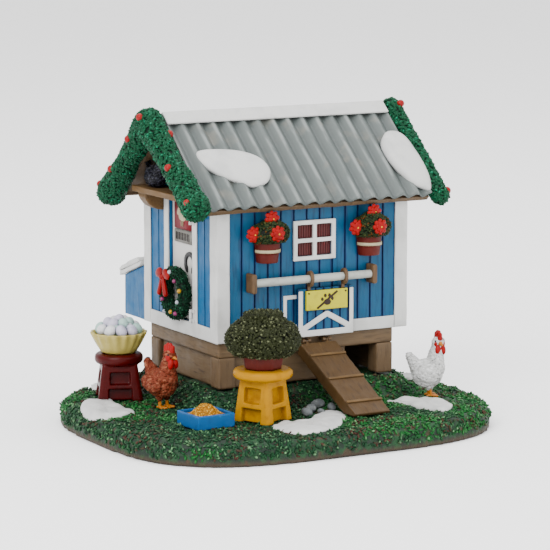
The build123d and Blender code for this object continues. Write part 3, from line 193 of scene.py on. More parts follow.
def blue_boards(name, across, pitch, offset=0.0, dark=False, plain=False):
    """Blue board paint with navy lines along the grooves, and painted shade in corners and grooves; dark
    gives a shaded copy of the blue.

    across is the axis that the boards follow each other on.
    """
    p = Paint(name, 0.45, 0.2)
    # The dark copy of the blue and of its streaks is painted shade, for walls that stand less in the light
    # than the gable.
    p.coat("#336A90" if dark else "#0C74A6")
    streaks = p.noise(0.9, 5.0, p.stretched((1.0, 1.0, 0.12)))
    p.coat("#225274" if dark else "#0A6294", p.ramp(streaks, 0.48, 0.75))
    p.coat("#3A82B4", p.ramp(p.noise(1.3, 4.0, p.stretched((1.0, 1.0, 0.2))), 0.62, 0.8), 0.2)
    if not plain:
        shifted = p.maths("ADD", p.axis(across), 1000 * pitch - offset)
        wobble = p.maths("MULTIPLY", p.maths("SUBTRACT", p.noise(0.35, 2.0), 0.5), 0.9)
        shifted = p.maths("ADD", shifted, wobble)
        step = p.maths("MODULO", p.maths("ADD", shifted, pitch / 2), pitch)
        distance = p.maths("ABSOLUTE", p.maths("SUBTRACT", step, pitch / 2))
        p.coat("#123F74", p.maths("SUBTRACT", 1.0, p.ramp(distance, 0.22, 0.75)), 0.9)
    # Painted shade in corners and grooves, in navy.
    p.coat("#0B2B58", p.ramp(p.hollow_shade(1.3), 0.3, 0.75), 0.95)
    p.relief(streaks, 0.10)
    p.relief(p.noise(3.0, 3.0), 0.03)
    gloss_variation(p, 0.35, 0.6)
    return p.done()


def white_trim(name, tint="#E4E4E2"):
    p = Paint(name, 0.42, 0.4)
    p.coat(tint)
    p.coat("#CFCFCC", p.ramp(p.noise(0.12, 4.0), 0.45, 0.7), 0.6)
    p.coat("#B9B7B0", p.ramp(p.noise(0.8, 4.0, p.stretched((1, 1, 0.25))), 0.62, 0.8), 0.35)
    # Painted shade in corners, blue-grey.
    p.coat("#8F9AA8", p.ramp(p.hollow_shade(0.8), 0.35, 0.8), 0.65)
    p.relief(p.noise(0.6, 3.0), 0.10)
    p.relief(p.noise(3.5, 2.0), 0.02)
    gloss_variation(p, 0.35, 0.55)
    return p.done()


def wood_paint(name, base, dark, light, grain=(0.15, 1.0, 1.0)):
    """Brown painted timber with darker and lighter streaks along the grain."""
    p = Paint(name, 0.6, 0.3)
    p.coat(base)
    streaks = p.noise(1.1, 5.0, p.stretched(grain))
    p.coat(dark, p.ramp(streaks, 0.5, 0.78), 0.75)
    p.coat(light, p.ramp(p.noise(0.9, 4.0, p.stretched(grain)), 0.58, 0.8), 0.5)
    # Painted shade in corners and grooves, in the dark colour.
    p.coat(dark, p.ramp(p.hollow_shade(1.5), 0.3, 0.85), 0.8)
    p.relief(streaks, 0.14)
    gloss_variation(p, 0.5, 0.7)
    return p.done()


def satin(name, base, dark, light, roughness=0.4, bump=0.04, shade_reach=1.0, specular=0.3):
    """One brushed colour with painted shade in the corners and a lighter bloom."""
    p = Paint(name, roughness, specular)
    p.coat(base)
    p.coat(dark, p.ramp(p.noise(0.3, 4.0), 0.5, 0.78), 0.5)
    p.coat(light, p.ramp(p.noise(0.55, 4.0), 0.6, 0.82), 0.45)
    # Painted shade in the corners, in the dark colour.
    p.coat(dark, p.ramp(p.hollow_shade(shade_reach), 0.3, 0.85), 0.85)
    p.relief(p.noise(1.4, 3.0), bump)
    gloss_variation(p, roughness - 0.08, roughness + 0.12)
    return p.done()


def snow_paint(name):
    p = Paint(name, 0.5, 0.3)
    p.coat("#E3E3E1")
    p.coat("#D2D3D2", p.ramp(p.noise(0.15, 4.0), 0.45, 0.7), 0.7)
    # Painted shade in corners, grey.
    p.coat("#C3C6C8", p.ramp(p.hollow_shade(1.0), 0.35, 0.9), 0.6)
    p.relief(p.noise(0.5, 3.0), 0.10)
    p.relief(p.noise(4.0, 2.0), 0.02)
    gloss_variation(p, 0.42, 0.62)
    return p.done()


def tin_paint(name):
    """Grey corrugated sheet: painted shade down in the valleys and a painted highlight, in brushed streaks,
    on the ribs' tops.
    """
    p = Paint(name, 0.5, 0.35)
    p.coat("#7C8381")
    ridge = p.attribute("ridge")
    # Painted shade, darker down in the valleys.
    p.coat("#686F6E", p.ramp(ridge, 0.45, 0.0), 0.75)
    # Painted highlight on the ribs' tops, broken up into brushed streaks.
    brushed = p.ramp(p.noise(0.5, 4.0, p.stretched((1, 0.2, 0.2))), 0.4, 0.62)
    rib_highlight = p.maths("MULTIPLY", p.ramp(ridge, 0.72, 1.0), brushed)
    p.coat("#ABB0AE", rib_highlight, 0.7)
    p.coat("#A59F93", p.ramp(p.noise(0.16, 3.0), 0.55, 0.75), 0.35)
    # Painted shade in corners.
    p.coat("#5E6363", p.ramp(p.hollow_shade(1.4), 0.35, 0.9), 0.6)
    p.relief(p.noise(0.4, 4.0), 0.10)
    p.relief(p.noise(3.0, 2.0), 0.02)
    gloss_variation(p, 0.42, 0.6)
    return p.done()


def leaf_paint(name, dark, base, light, speck=None, roughness=0.55):
    """Leaf relief: painted shade down between the leaves and painted highlights on the tips.

    The mesh's tone is 0 at the root of a leaf, in painted shade, and 1 at a tip with a painted highlight.
    """
    p = Paint(name, roughness, 0.12)
    # The dark colour is painted shade at the leaves' roots, the light one a painted highlight on their tips.
    p.coat(dark)
    tone = p.attribute("tone")
    p.coat(base, p.ramp(tone, 0.08, 0.5))
    p.coat(light, p.ramp(tone, 0.62, 1.0), 0.85)
    if speck:
        p.coat(speck, p.ramp(p.attribute("speck"), 0.5, 0.6), 0.8)
    # Painted shade in corners.
    p.coat(dark, p.ramp(p.hollow_shade(1.2), 0.45, 0.95), 0.7)
    p.relief(p.noise(3.0, 3.0), 0.04)
    return p.done()


# ------------------------------------------------------------------ mesh tools


def place(name, mesh, body, slot, material, stands_for=()):
    """A finished piece: an object at the origin that rides on a body."""
    piece = bpy.data.objects.new(name, mesh)
    bpy.context.scene.collection.objects.link(piece)
    mesh.materials.clear()
    mesh.materials.append(material)
    mesh.polygons.foreach_set("use_smooth", [True] * len(mesh.polygons))
    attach(piece, body)
    if stands_for:
        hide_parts(*stands_for)
    return piece


def from_arrays(name, verts, faces, **values):
    """A mesh from vertices in metres, with float values for each vertex."""
    mesh = bpy.data.meshes.new(name)
    mesh.from_pydata([tuple(v) for v in verts], [], [tuple(f) for f in faces])
    for key, data in values.items():
        layer = mesh.attributes.new(key, "FLOAT", "POINT")
        layer.data.foreach_set("value", np.asarray(data, np.float32))
    mesh.update()
    return mesh


def remeshed(mesh, voxel, smoothing=2, name="cast"):
    """The same solid as one even skin, softened as a cast figure is. voxel is in millimetres."""
    holder = bpy.data.objects.new("holder", mesh)
    bpy.context.scene.collection.objects.link(holder)
    skin = holder.modifiers.new("skin", "REMESH")
    skin.mode = "VOXEL"
    skin.voxel_size = voxel * MM
    if smoothing:
        relax = holder.modifiers.new("relax", "SMOOTH")
        relax.factor = 0.5
        relax.iterations = smoothing
    graph = bpy.context.evaluated_depsgraph_get()
    made = bpy.data.meshes.new_from_object(holder.evaluated_get(graph))
    made.name = name
    bpy.data.objects.remove(holder)
    return made


def cad_mesh(node):
    """A copy of a CAD node's mesh."""
    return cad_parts[node].data.copy()


def arrays(mesh):
    """Vertex places and normals, in metres."""
    count = len(mesh.vertices)
    places = np.empty(count * 3, np.float32)
    mesh.vertices.foreach_get("co", places)
    normals = np.empty(count * 3, np.float32)
    mesh.vertex_normals.foreach_get("vector", normals)
    return places.reshape(-1, 3), normals.reshape(-1, 3)


def push(mesh, amounts):
    """Moves each vertex along its normal, in millimetres."""
    places, normals = arrays(mesh)
    places = places + normals * (np.asarray(amounts)[:, None] * MM)
    mesh.vertices.foreach_set("co", places.astype(np.float32).ravel())
    mesh.update()


def toned(mesh, tone):
    """Gives every vertex of a mesh the same tone."""
    layer = mesh.attributes.new("tone", "FLOAT", "POINT")
    layer.data.foreach_set("value", np.full(len(mesh.vertices), tone, np.float32))


def lumps(places, per_mm, seed=0.0):
    """Smooth noise from about -1 to 1 at each place."""
    shift = Vector((seed, -seed, 2 * seed))
    scale = per_mm / MM
    return np.array([noise.noise(Vector(p) * scale + shift) for p in places])


def uneven(mesh, per_mm, seed, depth, shift=0.0):
    """Pushes a mesh in and out by smooth noise of a depth in millimetres; shift moves all of it."""
    push(mesh, lumps(arrays(mesh)[0], per_mm, seed) * depth + shift)


def hand_made(node, body, slot, material, voxel, smoothing=2, waver=0.08):
    """A CAD piece with soft edges and a slightly uneven surface, as cast and painted by hand."""
    mesh = remeshed(cad_mesh(node), voxel, smoothing, node + "_cast")
    if waver:
        uneven(mesh, 0.22, 3.0, waver)
    place(node + "_look", mesh, body, slot, material, (node,))


GOLDEN = (1 + 5**0.5) / 2
GRAIN_POINTS = np.array(
    [(a, b * GOLDEN, 0) for a in (-1, 1) for b in (-1, 1)]
    + [(0, a, b * GOLDEN) for a in (-1, 1) for b in (-1, 1)]
    + [(b * GOLDEN, 0, a) for a in (-1, 1) for b in (-1, 1)],
    float,
) / (1 + GOLDEN**2) ** 0.5


def hull_faces(points):
    """Triangles round a small convex cloud of points."""
    shape = bmesh.new()
    for point in points:
        shape.verts.new(point)
    bmesh.ops.convex_hull(shape, input=shape.verts)
    shape.verts.index_update()
    faces = [[v.index for v in f.verts] for f in shape.faces]
    shape.free()
    return np.array(faces)


GRAIN_FACES = hull_faces(GRAIN_POINTS)


def scattered(mesh, count, keep=None):
    """Random places on a mesh, spread by area: places and normals in metres."""
    mesh.calc_loop_triangles()
    places, _ = arrays(mesh)
    corners = np.empty(len(mesh.loop_triangles) * 3, np.int32)
    mesh.loop_triangles.foreach_get("vertices", corners)
    a, b, c = (places[corners.reshape(-1, 3)[:, i]] for i in range(3))
    cross = np.cross(b - a, c - a)
    area = np.linalg.norm(cross, axis=1)
    pick = RNG.choice(len(area), count, p=area / area.sum())
    u, v = RNG.random((2, count))
    flip = u + v > 1
    u[flip], v[flip] = 1 - u[flip], 1 - v[flip]
    where = a[pick] + (b - a)[pick] * u[:, None] + (c - a)[pick] * v[:, None]
    normal = cross[pick] / area[pick][:, None]
    if keep is not None:
        good = keep(where, normal)
        where, normal = where[good], normal[good]
    return where, normal


def leaves(name, where, normal, size3, tilt=35.0, bright=1.0, speck=0.0, flow=None):
    """Many small grains like leaves or feathers on a surface, as one mesh.

    size3 is a grain's length, width and thickness in millimetres.
    """
    count = len(where)
    length, width, thickness = size3
    random_way = RNG.normal(size=(count, 3))
    if flow is not None:
        random_way = random_way * 0.22 + np.asarray(flow, float)
    along = random_way - normal * (random_way * normal).sum(1)[:, None]
    along /= np.linalg.norm(along, axis=1)[:, None]
    side = np.cross(normal, along)
    lean = np.radians(RNG.uniform(-0.2, 1.0, count) * tilt)[:, None]
    nose = along * np.cos(lean) + normal * np.sin(lean)
    top = normal * np.cos(lean) - along * np.sin(lean)
    size = RNG.uniform(0.7, 1.25, count)[:, None, None] * MM / 2
    grain = GRAIN_POINTS
    body = (
        nose[:, None, :] * grain[None, :, 0:1] * length
        + side[:, None, :] * grain[None, :, 1:2] * width
        + top[:, None, :] * grain[None, :, 2:3] * thickness
    ) * size
    verts = where[:, None, :] + body
    lift = (body * normal[:, None, :]).sum(2) / MM
    reach = max(length * math.sin(math.radians(tilt)) / 2, thickness / 2)
    # A grain's points that stand off the surface get more tone, which paints a highlight, and those close to
    # it less, which paints shade; each grain also gets a random share.
    tone = np.clip(0.42 + 0.5 * lift / reach, 0, 1) * RNG.uniform(0.55, 1.15, count)[:, None] * bright
    spots = np.repeat(RNG.random(count) < speck, len(grain)).astype(float)
    faces = GRAIN_FACES[None, :, :] + (np.arange(count) * len(grain))[:, None, None]
    return from_arrays(
        name, verts.reshape(-1, 3), faces.reshape(-1, 3), tone=np.clip(tone, 0, 1).ravel(), speck=spots
    )


def grown(names, skin, tone, count, size3, tilt, ride, paint, node, bright=1.0, lift=0.0, **more):
    """A skin with grains over it, both in one paint. The skin stands for a CAD node.

    names are the skin's and the grains' names, ride is their body and their slot, which is not used.
    """
    keep = more.pop("keep", None)
    # The skin takes one low tone, so that it shows as painted shade between the grains.
    toned(skin, tone)
    where, normal = scattered(skin, count, keep)
    grains = leaves(names[1], where + normal * lift * MM, normal, size3, tilt, bright, **more)
    place(names[0], skin, *ride, paint, (node,))
    place(names[1], grains, *ride, paint)


def tube_faces(rows, sides):
    """The faces of a closed tube with rows of so many sides, one row after the other."""
    faces = []
    for row in range(rows - 1):
        low, high = row * sides, (row + 1) * sides
        for i in range(sides):
            j = (i + 1) % sides
            faces.append((low + i, low + j, high + j, high + i))
    faces.append(tuple(reversed(range(sides))))
    faces.append(tuple(range((rows - 1) * sides, rows * sides)))
    return faces


def lathe(name, profile, centre, sides, flute):
    """A turned shape. profile is (radius, height) in millimetres; flute changes a radius with the angle."""
    verts = []
    for radius, height in profile:
        for i in range(sides):
            turn = 2 * math.pi * i / sides
            r = flute(radius, height, turn)
            verts.append(at(centre[0] + r * math.cos(turn), centre[1] + r * math.sin(turn), height))
    return from_arrays(name, verts, tube_faces(len(profile), sides))


def finished(name, shape):
    """A mesh from a bmesh, which is then let go."""
    made = bpy.data.meshes.new(name)
    shape.to_mesh(made)
    shape.free()
    return made


def merged(name, meshes):
    """Several meshes as one."""
    shape = bmesh.new()
    for mesh in meshes:
        shape.from_mesh(mesh)
    return finished(name, shape)


def ellipsoid(centre, radii, turn=(0, 0, 0)):
    """A stretched ball; centre and radii are in millimetres, turn in degrees."""
    shape = bmesh.new()
    bmesh.ops.create_icosphere(shape, subdivisions=3, radius=1.0)
    spin = Euler([math.radians(t) for t in turn]).to_matrix().to_4x4()
    grow = Matrix.Diagonal((radii[0] * MM, radii[1] * MM, radii[2] * MM, 1))
    shape.transform(Matrix.Translation(at(*centre)) @ spin @ grow)
    return finished("ball", shape)


LIMB_STEPS, LIMB_SIDES, CAP_STEPS = 10, 16, 5


def limb(start, end, r0, r1):
    """A tapered rod with round ends; places and radii in millimetres."""
    a, b = at(*start), at(*end)
    way = (b - a).normalized()
    side = way.orthogonal().normalized()
    other = way.cross(side)
    rows = []
    for k in range(CAP_STEPS):
        turn = math.pi / 2 * k / CAP_STEPS
        rows.append((a - way * r0 * MM * math.cos(turn), r0 * math.sin(turn)))
    for k in range(LIMB_STEPS + 1):
        share = k / LIMB_STEPS
        rows.append((a.lerp(b, share), r0 + (r1 - r0) * share))
    for k in range(1, CAP_STEPS + 1):
        turn = math.pi / 2 * k / CAP_STEPS
        rows.append((b + way * r1 * MM * math.sin(turn), r1 * math.cos(turn)))
    verts = []
    for centre, radius in rows:
        reach = max(radius, 0.01)
        for i in range(LIMB_SIDES):
            turn = 2 * math.pi * i / LIMB_SIDES
            verts.append(centre + (side * math.cos(turn) + other * math.sin(turn)) * reach * MM)
    return from_arrays("limb", verts, tube_faces(len(rows), LIMB_SIDES))


def blended(name, meshes, voxel, smoothing):
    """Overlapping shapes melted into one skin."""
    return remeshed(merged("parts", meshes), voxel, smoothing, name)


# ------------------------------------------------------------------ camera

YAW, PITCH = 28.96, 8.95
CAMERA_AT = at(-438.16, -791.88, 186.52)
LENS = 183.5


def camera():
    """The camera, at its viewing angle."""
    data = bpy.data.cameras.new("camera")
    data.lens = LENS
    data.sensor_width = 36.0
    data.clip_start = 0.05
    data.clip_end = 10.0
    eye = bpy.data.objects.new("camera", data)
    eye.location = CAMERA_AT
    eye.rotation_euler = (math.radians(90 - PITCH), 0, math.radians(-YAW))
    bpy.context.scene.collection.objects.link(eye)
    bpy.context.scene.camera = eye


camera()

# ------------------------------------------------------------------ base

SNOW = snow_paint("snow_paint")


def earth_paint():
    """Mossy earth with brown patches and a brown band at the foot."""
    p = Paint("earth_paint", 0.6, 0.3)
    p.coat("#1E3324")
    p.coat("#2F5A38", p.ramp(p.noise(0.5, 4.0), 0.42, 0.62))
    p.coat("#57402F", p.ramp(p.noise(0.35, 4.0), 0.56, 0.68), 0.8)
    low = p.ramp(p.axis("Z"), 2.2, 0.2)
    p.coat("#5B4536", low, 0.85)
    # Painted shade in hollows and where the earth meets other parts.
    p.coat("#101A14", p.ramp(p.hollow_shade(2.5), 0.35, 0.9), 0.75)
    p.relief(p.noise(1.0, 5.0), 0.5)
    return p.done()


GROUND_DRIFTS = {
    "left": [
        (-66.3, 7.0), (-61.8, 9.5), (-56.7, 7.6), (-58.2, -1.9), (-58.6, -15.2), (-65.0, -18.2),
        (-70.5, -18.6), (-73.0, -14.6), (-73.0, -10.8), (-71.4, -2.4),
    ],
    "centre": [
        (-31.1, -54.6), (-24.8, -51.6), (-20.0, -53.2), (-14.3, -49.6), (-7.8, -44.6), (-3.6, -43.7),
        (-2.0, -47.2), (-3.2, -52.0), (-9.4, -60.4), (-15.6, -66.0), (-21.0, -68.6), (-26.0, -68.8),
        (-30.2, -66.6), (-31.9, -61.0),
    ],
    "right": [
        (20.2, -37.8), (27.0, -36.8), (32.2, -39.1), (34.8, -45.0), (36.3, -50.2), (33.0, -56.6),
        (27.2, -61.4), (24.9, -56.8), (23.6, -48.6), (22.2, -41.6),
    ],
    "behind_right": [(43, -6), (47, -3), (51, -7), (50, -14), (44, -16)],
    "behind_left": [(-48, 22), (-42, 27), (-43, 33), (-52, 30), (-55, 22)],
}


def smooth_loop(outline, count=72):
    """Points along a closed curve through an outline of (x, y) points."""
    loop = []
    n = len(outline)
    for k in range(count):
        t = k * n / count
        i, f = int(t), t - int(t)
        p0, p1, p2, p3 = (outline[(i + d) % n] for d in (-1, 0, 1, 2))
        point = []
        for a, b, c, d in zip(p0, p1, p2, p3):
            curve = 2 * b + (c - a) * f
            curve += (2 * a - 5 * b + 4 * c - d) * f**2 + (3 * b - a - 3 * c + d) * f**3
            point.append(curve / 2)
        loop.append(point)
    return loop


def inside(loop, x, y):
    """True for the points within a closed loop of (x, y) corners."""
    found = np.zeros(len(x), bool)
    for (x0, y0), (x1, y1) in zip(loop, loop[1:] + loop[:1]):
        crosses = (y0 > y) != (y1 > y)
        edge = x0 + (y - y0) * (x1 - x0) / ((y1 - y0) or 1e-9)
        found ^= crosses & (x < edge)
    return found


def middle_of(loop):
    count = len(loop)
    return sum(p[0] for p in loop) / count, sum(p[1] for p in loop) / count


def shrunk(loop, share):
    """The same loop drawn in towards its middle."""
    cx, cy = middle_of(loop)
    return [(cx + (x - cx) * share, cy + (y - cy) * share) for x, y in loop]


def moss_paint():
    """Mossy green with painted shade at the roots, painted highlights on the tips, brighter patches and
    reddish specks.
    """
    p = Paint("moss_paint", 0.55, 0.15)
    p.coat("#121F18")
    tone = p.attribute("tone")
    p.coat("#2A5036", p.ramp(tone, 0.08, 0.5))
    bright = p.ramp(p.noise(0.05, 3.0), 0.5, 0.62)
    p.coat("#2F7A42", p.maths("MULTIPLY", bright, p.ramp(tone, 0.15, 0.55)), 0.8)
    # Painted highlight on the tips, broken into patches.
    tips = p.maths("MULTIPLY", p.ramp(tone, 0.5, 0.9), p.ramp(p.noise(0.3, 3.0), 0.34, 0.56))
    p.coat("#93B890", tips, 0.85)
    patches = p.ramp(p.noise(0.12, 2.0), 0.45, 0.6)
    p.coat("#5E3530", p.maths("MULTIPLY", p.attribute("speck"), patches), 0.85)
    # Painted shade in corners.
    p.coat("#121F18", p.ramp(p.hollow_shade(1.2), 0.45, 0.95), 0.7)
    p.relief(p.noise(3.0, 3.0), 0.04)
    return p.done()


def base():
    """The earth with its moss, which grows neither under the house nor under the snow."""
    skin = remeshed(cad_mesh("terrain_base"), 0.8, 3, "earth")
    places, _ = arrays(skin)
    height = np.clip((places[:, 2] / MM - 0.6) / 2.0, 0, 1)
    rough = 0.6 * lumps(places, 0.10) + 0.8 * lumps(places, 0.26, 5.0) + 0.3 * lumps(places, 0.6, 9.0)
    push(skin, (rough - 0.5) * height)
    place("earth", skin, "house", "paint_grass", earth_paint(), ("terrain_base",))
    plinth_low, plinth_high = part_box("plinth_posts")
    drifts = [shrunk(smooth_loop(outline), 0.97) for outline in GROUND_DRIFTS.values()]

    def grows(where, normal):
        bare = (
            (where[:, 0] > plinth_low.x - MM)
            & (where[:, 0] < plinth_high.x + MM)
            & (where[:, 1] > plinth_low.y - MM)
            & (where[:, 1] < plinth_high.y + MM)
        )
        x, y = (where[:, 0] - HOUSE.x) / MM, (where[:, 1] - HOUSE.y) / MM
        for loop in drifts:
            bare |= inside(loop, x, y)
        rim = where[:, 2] / MM
        return ~bare & (rim > 1.6 + RNG.random(len(rim)) * 1.6)

    where, normal = scattered(skin, 30000, grows)
    where = where + normal * 0.1 * MM
    moss = leaves("moss", where, normal, (1.9, 0.75, 0.65), 55, 1.0, 0.3)
    place("moss", moss, "house", "paint_grass", moss_paint())
    return skin


EARTH = base()
TERRAIN = BVHTree.FromPolygons([v.co for v in EARTH.vertices], [p.vertices for p in EARTH.polygons])


def drift(name, outline, thickness, spot):
    """A pillow of snow inside a closed outline. spot maps (x, y, height) to a place."""
    loop = smooth_loop(outline)
    count = len(loop)
    cx, cy = middle_of(loop)
    rings = [0.0, 0.15, 0.3, 0.45, 0.6, 0.72, 0.83, 0.91, 0.96, 0.99, 1.0]
    verts, faces = [spot(cx, cy, thickness)], []
    for share in rings[1:]:
        rise = (1 - share**6) ** 0.5
        for x, y in loop:
            px, py = cx + (x - cx) * share, cy + (y - cy) * share
            uneven = 0.12 * noise.noise(Vector((px * 0.3, py * 0.3, 1.7)))
            verts.append(spot(px, py, 0.1 + (thickness - 0.1 + uneven) * rise))
    for x, y in loop:
        verts.append(spot(cx + (x - cx) * 0.97, cy + (y - cy) * 0.97, -0.8))
    last = 1 + (len(rings) - 1) * count
    for k in range(count):
        j = (k + 1) % count
        faces.append((0, 1 + k, 1 + j))
        for row in range(len(rings) - 1):
            a = 1 + row * count
            faces.append((a + k, a + count + k, a + count + j, a + j))
    faces.append(tuple(reversed(range(last, last + count))))
    return from_arrays(name, verts, faces)


def on_ground(x, y, height):
    """A place at a height over the earth; places off the rim slide back on to its edge."""
    middle_x, middle_y = -HOUSE.x / MM, -18.0
    for step in range(40):
        share = 1 - 0.004 * step
        px, py = middle_x + (x - middle_x) * share, middle_y + (y - middle_y) * share
        hit, normal, _, _ = TERRAIN.ray_cast(at(px, py, 60), Vector((0, 0, -1)))
        if hit is not None and normal.z > 0.25:
            return hit + (normal * 0.7 + Vector((0, 0, 0.3))) * height * MM
    return at(px, py, GROUND + height)


def lay_snow(node, outlines, thickness, spot, main):
    """Every drift of one CAD node; the main one stands for the node. thickness goes by the drift's key."""
    for key, outline in outlines.items():
        mesh = drift(node + "_" + key, outline, thickness[key], spot)
        piece = place(node + "_" + key, mesh, "house", "paint_snow", SNOW)
        if key == main:
            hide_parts(node)


lay_snow("ground_snow", GROUND_DRIFTS, dict.fromkeys(GROUND_DRIFTS, 1.3), on_ground, "centre")


# Middle and size of each stone beside the ramp.
STONES = ((-4.5, -36.5, 2.2), (-9.5, -41, 1.9), (-2.6, -42, 1.6), (-13.5, -45, 1.7), (-8.3, -45.4, 1.3))


def stones():
    p = Paint("stone_paint", 0.6, 0.3)
    p.coat("#84888A")
    p.coat("#B4B8B6", p.ramp(p.noise(0.5, 4.0), 0.5, 0.7), 0.8)
    # Painted shade in corners.
    p.coat("#3E4244", p.ramp(p.hollow_shade(1.4), 0.3, 0.9), 0.8)
    p.relief(p.noise(1.4, 4.0), 0.15)
    material = p.done()
    rocks = []
    for i, (x, y, size) in enumerate(STONES):
        radii = (size * 1.1, size * 0.85, size * 0.72)
        stone = ellipsoid((x, y, GROUND + 0.45 * size), radii, (10 * i, -7 * i, 40 * i))
        uneven(stone, 0.28, 3.0 * i, 0.25 * size)
        rocks.append(stone)
    place("stones", merged("stones", rocks), "house", "paint_stone", material, ("rocks",))


stones()

# ------------------------------------------------------------------ plinth and house

TIMBER = wood_paint("timber_paint", "#857059", "#5A4838", "#A08A70", (0.15, 0.15, 1.0))
TIMBER_UP = wood_paint("timber_upright_paint", "#826D57", "#574636", "#9E886E", (1.0, 1.0, 0.15))
DECK_WOOD = wood_paint("deck_paint", "#77634F", "#44372C", "#9A846A", (1.0, 0.3, 0.3))
TAN = wood_paint("tan_paint", "#80664A", "#4E3A28", "#A48663", (1.0, 0.15, 1.0))
WHITE = white_trim("white_paint")

hand_made("plinth_posts", "house", "paint_timber", TIMBER_UP, 0.45)
hand_made("sill_beams", "house", "paint_timber", TIMBER, 0.45)
hand_made("skirt_panels", "house", "paint_timber", TIMBER, 0.4)


def repaint(node, material):
    """Gives a CAD node that stays in view its own paint."""
    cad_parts[node].data.materials.clear()
    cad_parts[node].data.materials.append(material)


HOUSE_X, HOUSE_Y = HOUSE.x / MM, HOUSE.y / MM
# The long walls take the dark copy of the blue: painted shade, as they are less lit than the gable.
repaint("wall_front", blue_boards("long_wall_paint", "X", 4.7, HOUSE_X + 2.35, dark=True))
repaint("wall_back", blue_boards("back_wall_paint", "X", 4.7, HOUSE_X + 2.35, dark=True))
repaint("wall_left", blue_boards("gable_wall_paint", "Y", 8.0, HOUSE_Y, plain=True))
repaint("wall_right", blue_boards("far_wall_paint", "Y", 4.7, HOUSE_Y))
repaint("floor_deck", DECK_WOOD)
for board in (
    ("corner_boards", 0.28, 2, 0.10),
    ("wall_trim", 0.18, 2, 0.06),
    ("pop_hole_frame", 0.12, 2, 0.05),
    ("window_frame", 0.14, 3, 0.05),
):
    hand_made(board[0], "house", "paint_white", WHITE, *board[1:])


def curtain_paint():
    p = Paint("curtain_paint", 0.5, 0.35)
    p.coat("#620C16")
    p.coat("#8E1C28", p.ramp(p.noise(1.5, 3.0, p.stretched((1, 1, 0.2))), 0.5, 0.75), 0.6)
    # Painted shade, near black, in the corners.
    p.coat("#26060C", p.ramp(p.hollow_shade(0.6), 0.2, 0.7), 0.95)
    return p.done()


repaint("curtain", curtain_paint())

# ------------------------------------------------------------------ roof

SHEET_LOW, SHEET_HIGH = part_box("roof_sheet_front")
ROOF_HALF_X = (SHEET_HIGH.x - SHEET_LOW.x) / 2 / MM
RIDGE = (SHEET_HIGH.z - HOUSE.z) / MM
EAVE_Y = (HOUSE.y - SHEET_LOW.y) / MM
SLOPE = math.radians(40.0)
SLOPE_LENGTH = EAVE_Y / math.cos(SLOPE)
WAVES = 15
WAVE_HEIGHT = 0.8
SHEET = 0.7


def on_roof(side):
    """Maps (across, down the slope, off the sheet's crests) to a place.

    side is -1 at the front and 1 at the back.
    """

    def where(x, down, off):
        y = side * (down * math.cos(SLOPE) + off * math.sin(SLOPE))
        return at(x, y, RIDGE - down * math.sin(SLOPE) + off * math.cos(SLOPE))

    return where


def wave(x, down):
    """Height of the sheet's upper face from its crests, 0 or less, and how near a rib's top it is, 0 to 1."""
    wobble = 0.25 * noise.noise(Vector((x * 0.05, down * 0.07, 4.0)))
    phase = (x + wobble + ROOF_HALF_X) / (2 * ROOF_HALF_X) * WAVES
    rib = 0.5 + 0.5 * math.cos(2 * math.pi * phase)
    return -2 * WAVE_HEIGHT * (1 - rib**0.85), rib


def corrugated_sheet(name, node, side):
    """One corrugated sheet: an upper and a lower face, joined round the rim, with slight dents."""
    where = on_roof(side)
    across, along = WAVES * 14, 40
    verts, faces, ridges = [], [], []
    for layer in (0.0, -SHEET):
        for k in range(along + 1):
            for i in range(across + 1):
                x = -ROOF_HALF_X + 2 * ROOF_HALF_X * i / across
                down = SLOPE_LENGTH * k / along
                depth, rib = wave(x, down)
                dent = 0.10 * noise.noise(Vector((x * 0.12, down * 0.12, side)))
                end = 0.18 * noise.noise(Vector((x * 0.5, 7.0, side))) if k == along else 0.0
                verts.append(where(x, down + end, depth + layer + dent))
                ridges.append(rib)
    row = across + 1
    sheet = row * (along + 1)
    for k in range(along):
        for i in range(across):
            a = k * row + i
            quad = (a, a + row, a + row + 1, a + 1)
            lower = tuple(sheet + v for v in reversed(quad))
            faces += [quad, lower]
    rim = list(range(row))
    rim += [k * row + across for k in range(1, along + 1)]
    rim += [along * row + i for i in range(across - 1, -1, -1)]
    rim += [k * row for k in range(along - 1, 0, -1)]
    for a, b in zip(rim, rim[1:] + rim[:1]):
        faces.append((a, b, sheet + b, sheet + a))
    if side > 0:
        faces = [tuple(reversed(f)) for f in faces]
    mesh = from_arrays(name, verts, faces, ridge=ridges)
    place(name, mesh, "house", "paint_tin", TIN, (node,))


TIN = tin_paint("tin_paint")
corrugated_sheet("sheet_front", "roof_sheet_front", -1)
corrugated_sheet("sheet_back", "roof_sheet_back", 1)
hand_made("roof_deck_front", "house", "paint_deck", DECK_WOOD, 0.3, 2, 0.22)
hand_made("roof_deck_back", "house", "paint_deck", DECK_WOOD, 0.3, 2, 0.22)
hand_made("ridge_cap", "house", "paint_white", SNOW, 0.22, 2, 0.05)

ROOF_DRIFTS = {
    "oval": [
        (-35.4, 17), (-29.2, 16.2), (-20.3, 17.6), (-14.3, 21.2), (-12.9, 26.6), (-15.9, 31.5),
        (-21.3, 32.9), (-25.7, 30.7), (-30.8, 27.7), (-35.2, 22.2),
    ],
    "right": [
        (34, 15), (36.5, 13), (40, 13.4), (42.2, 17), (43.2, 25), (43.0, 33), (41.0, 39.4),
        (38.5, 38.6), (35.4, 36.3), (33.6, 32.5), (32.2, 28.9), (31.3, 24), (31.6, 18.7),
    ],
}


def on_front_slope(x, down, off):
    return on_roof(-1)(x, down, off - 0.4)


lay_snow("roof_snow", ROOF_DRIFTS, {"oval": 1.5, "right": 2.2}, on_front_slope, "oval")

# ------------------------------------------------------------------ greenery

BERRY_RED = satin("berry_paint", "#B01028", "#620614", "#D84450", 0.3, 0.02, 0.6, 0.2)
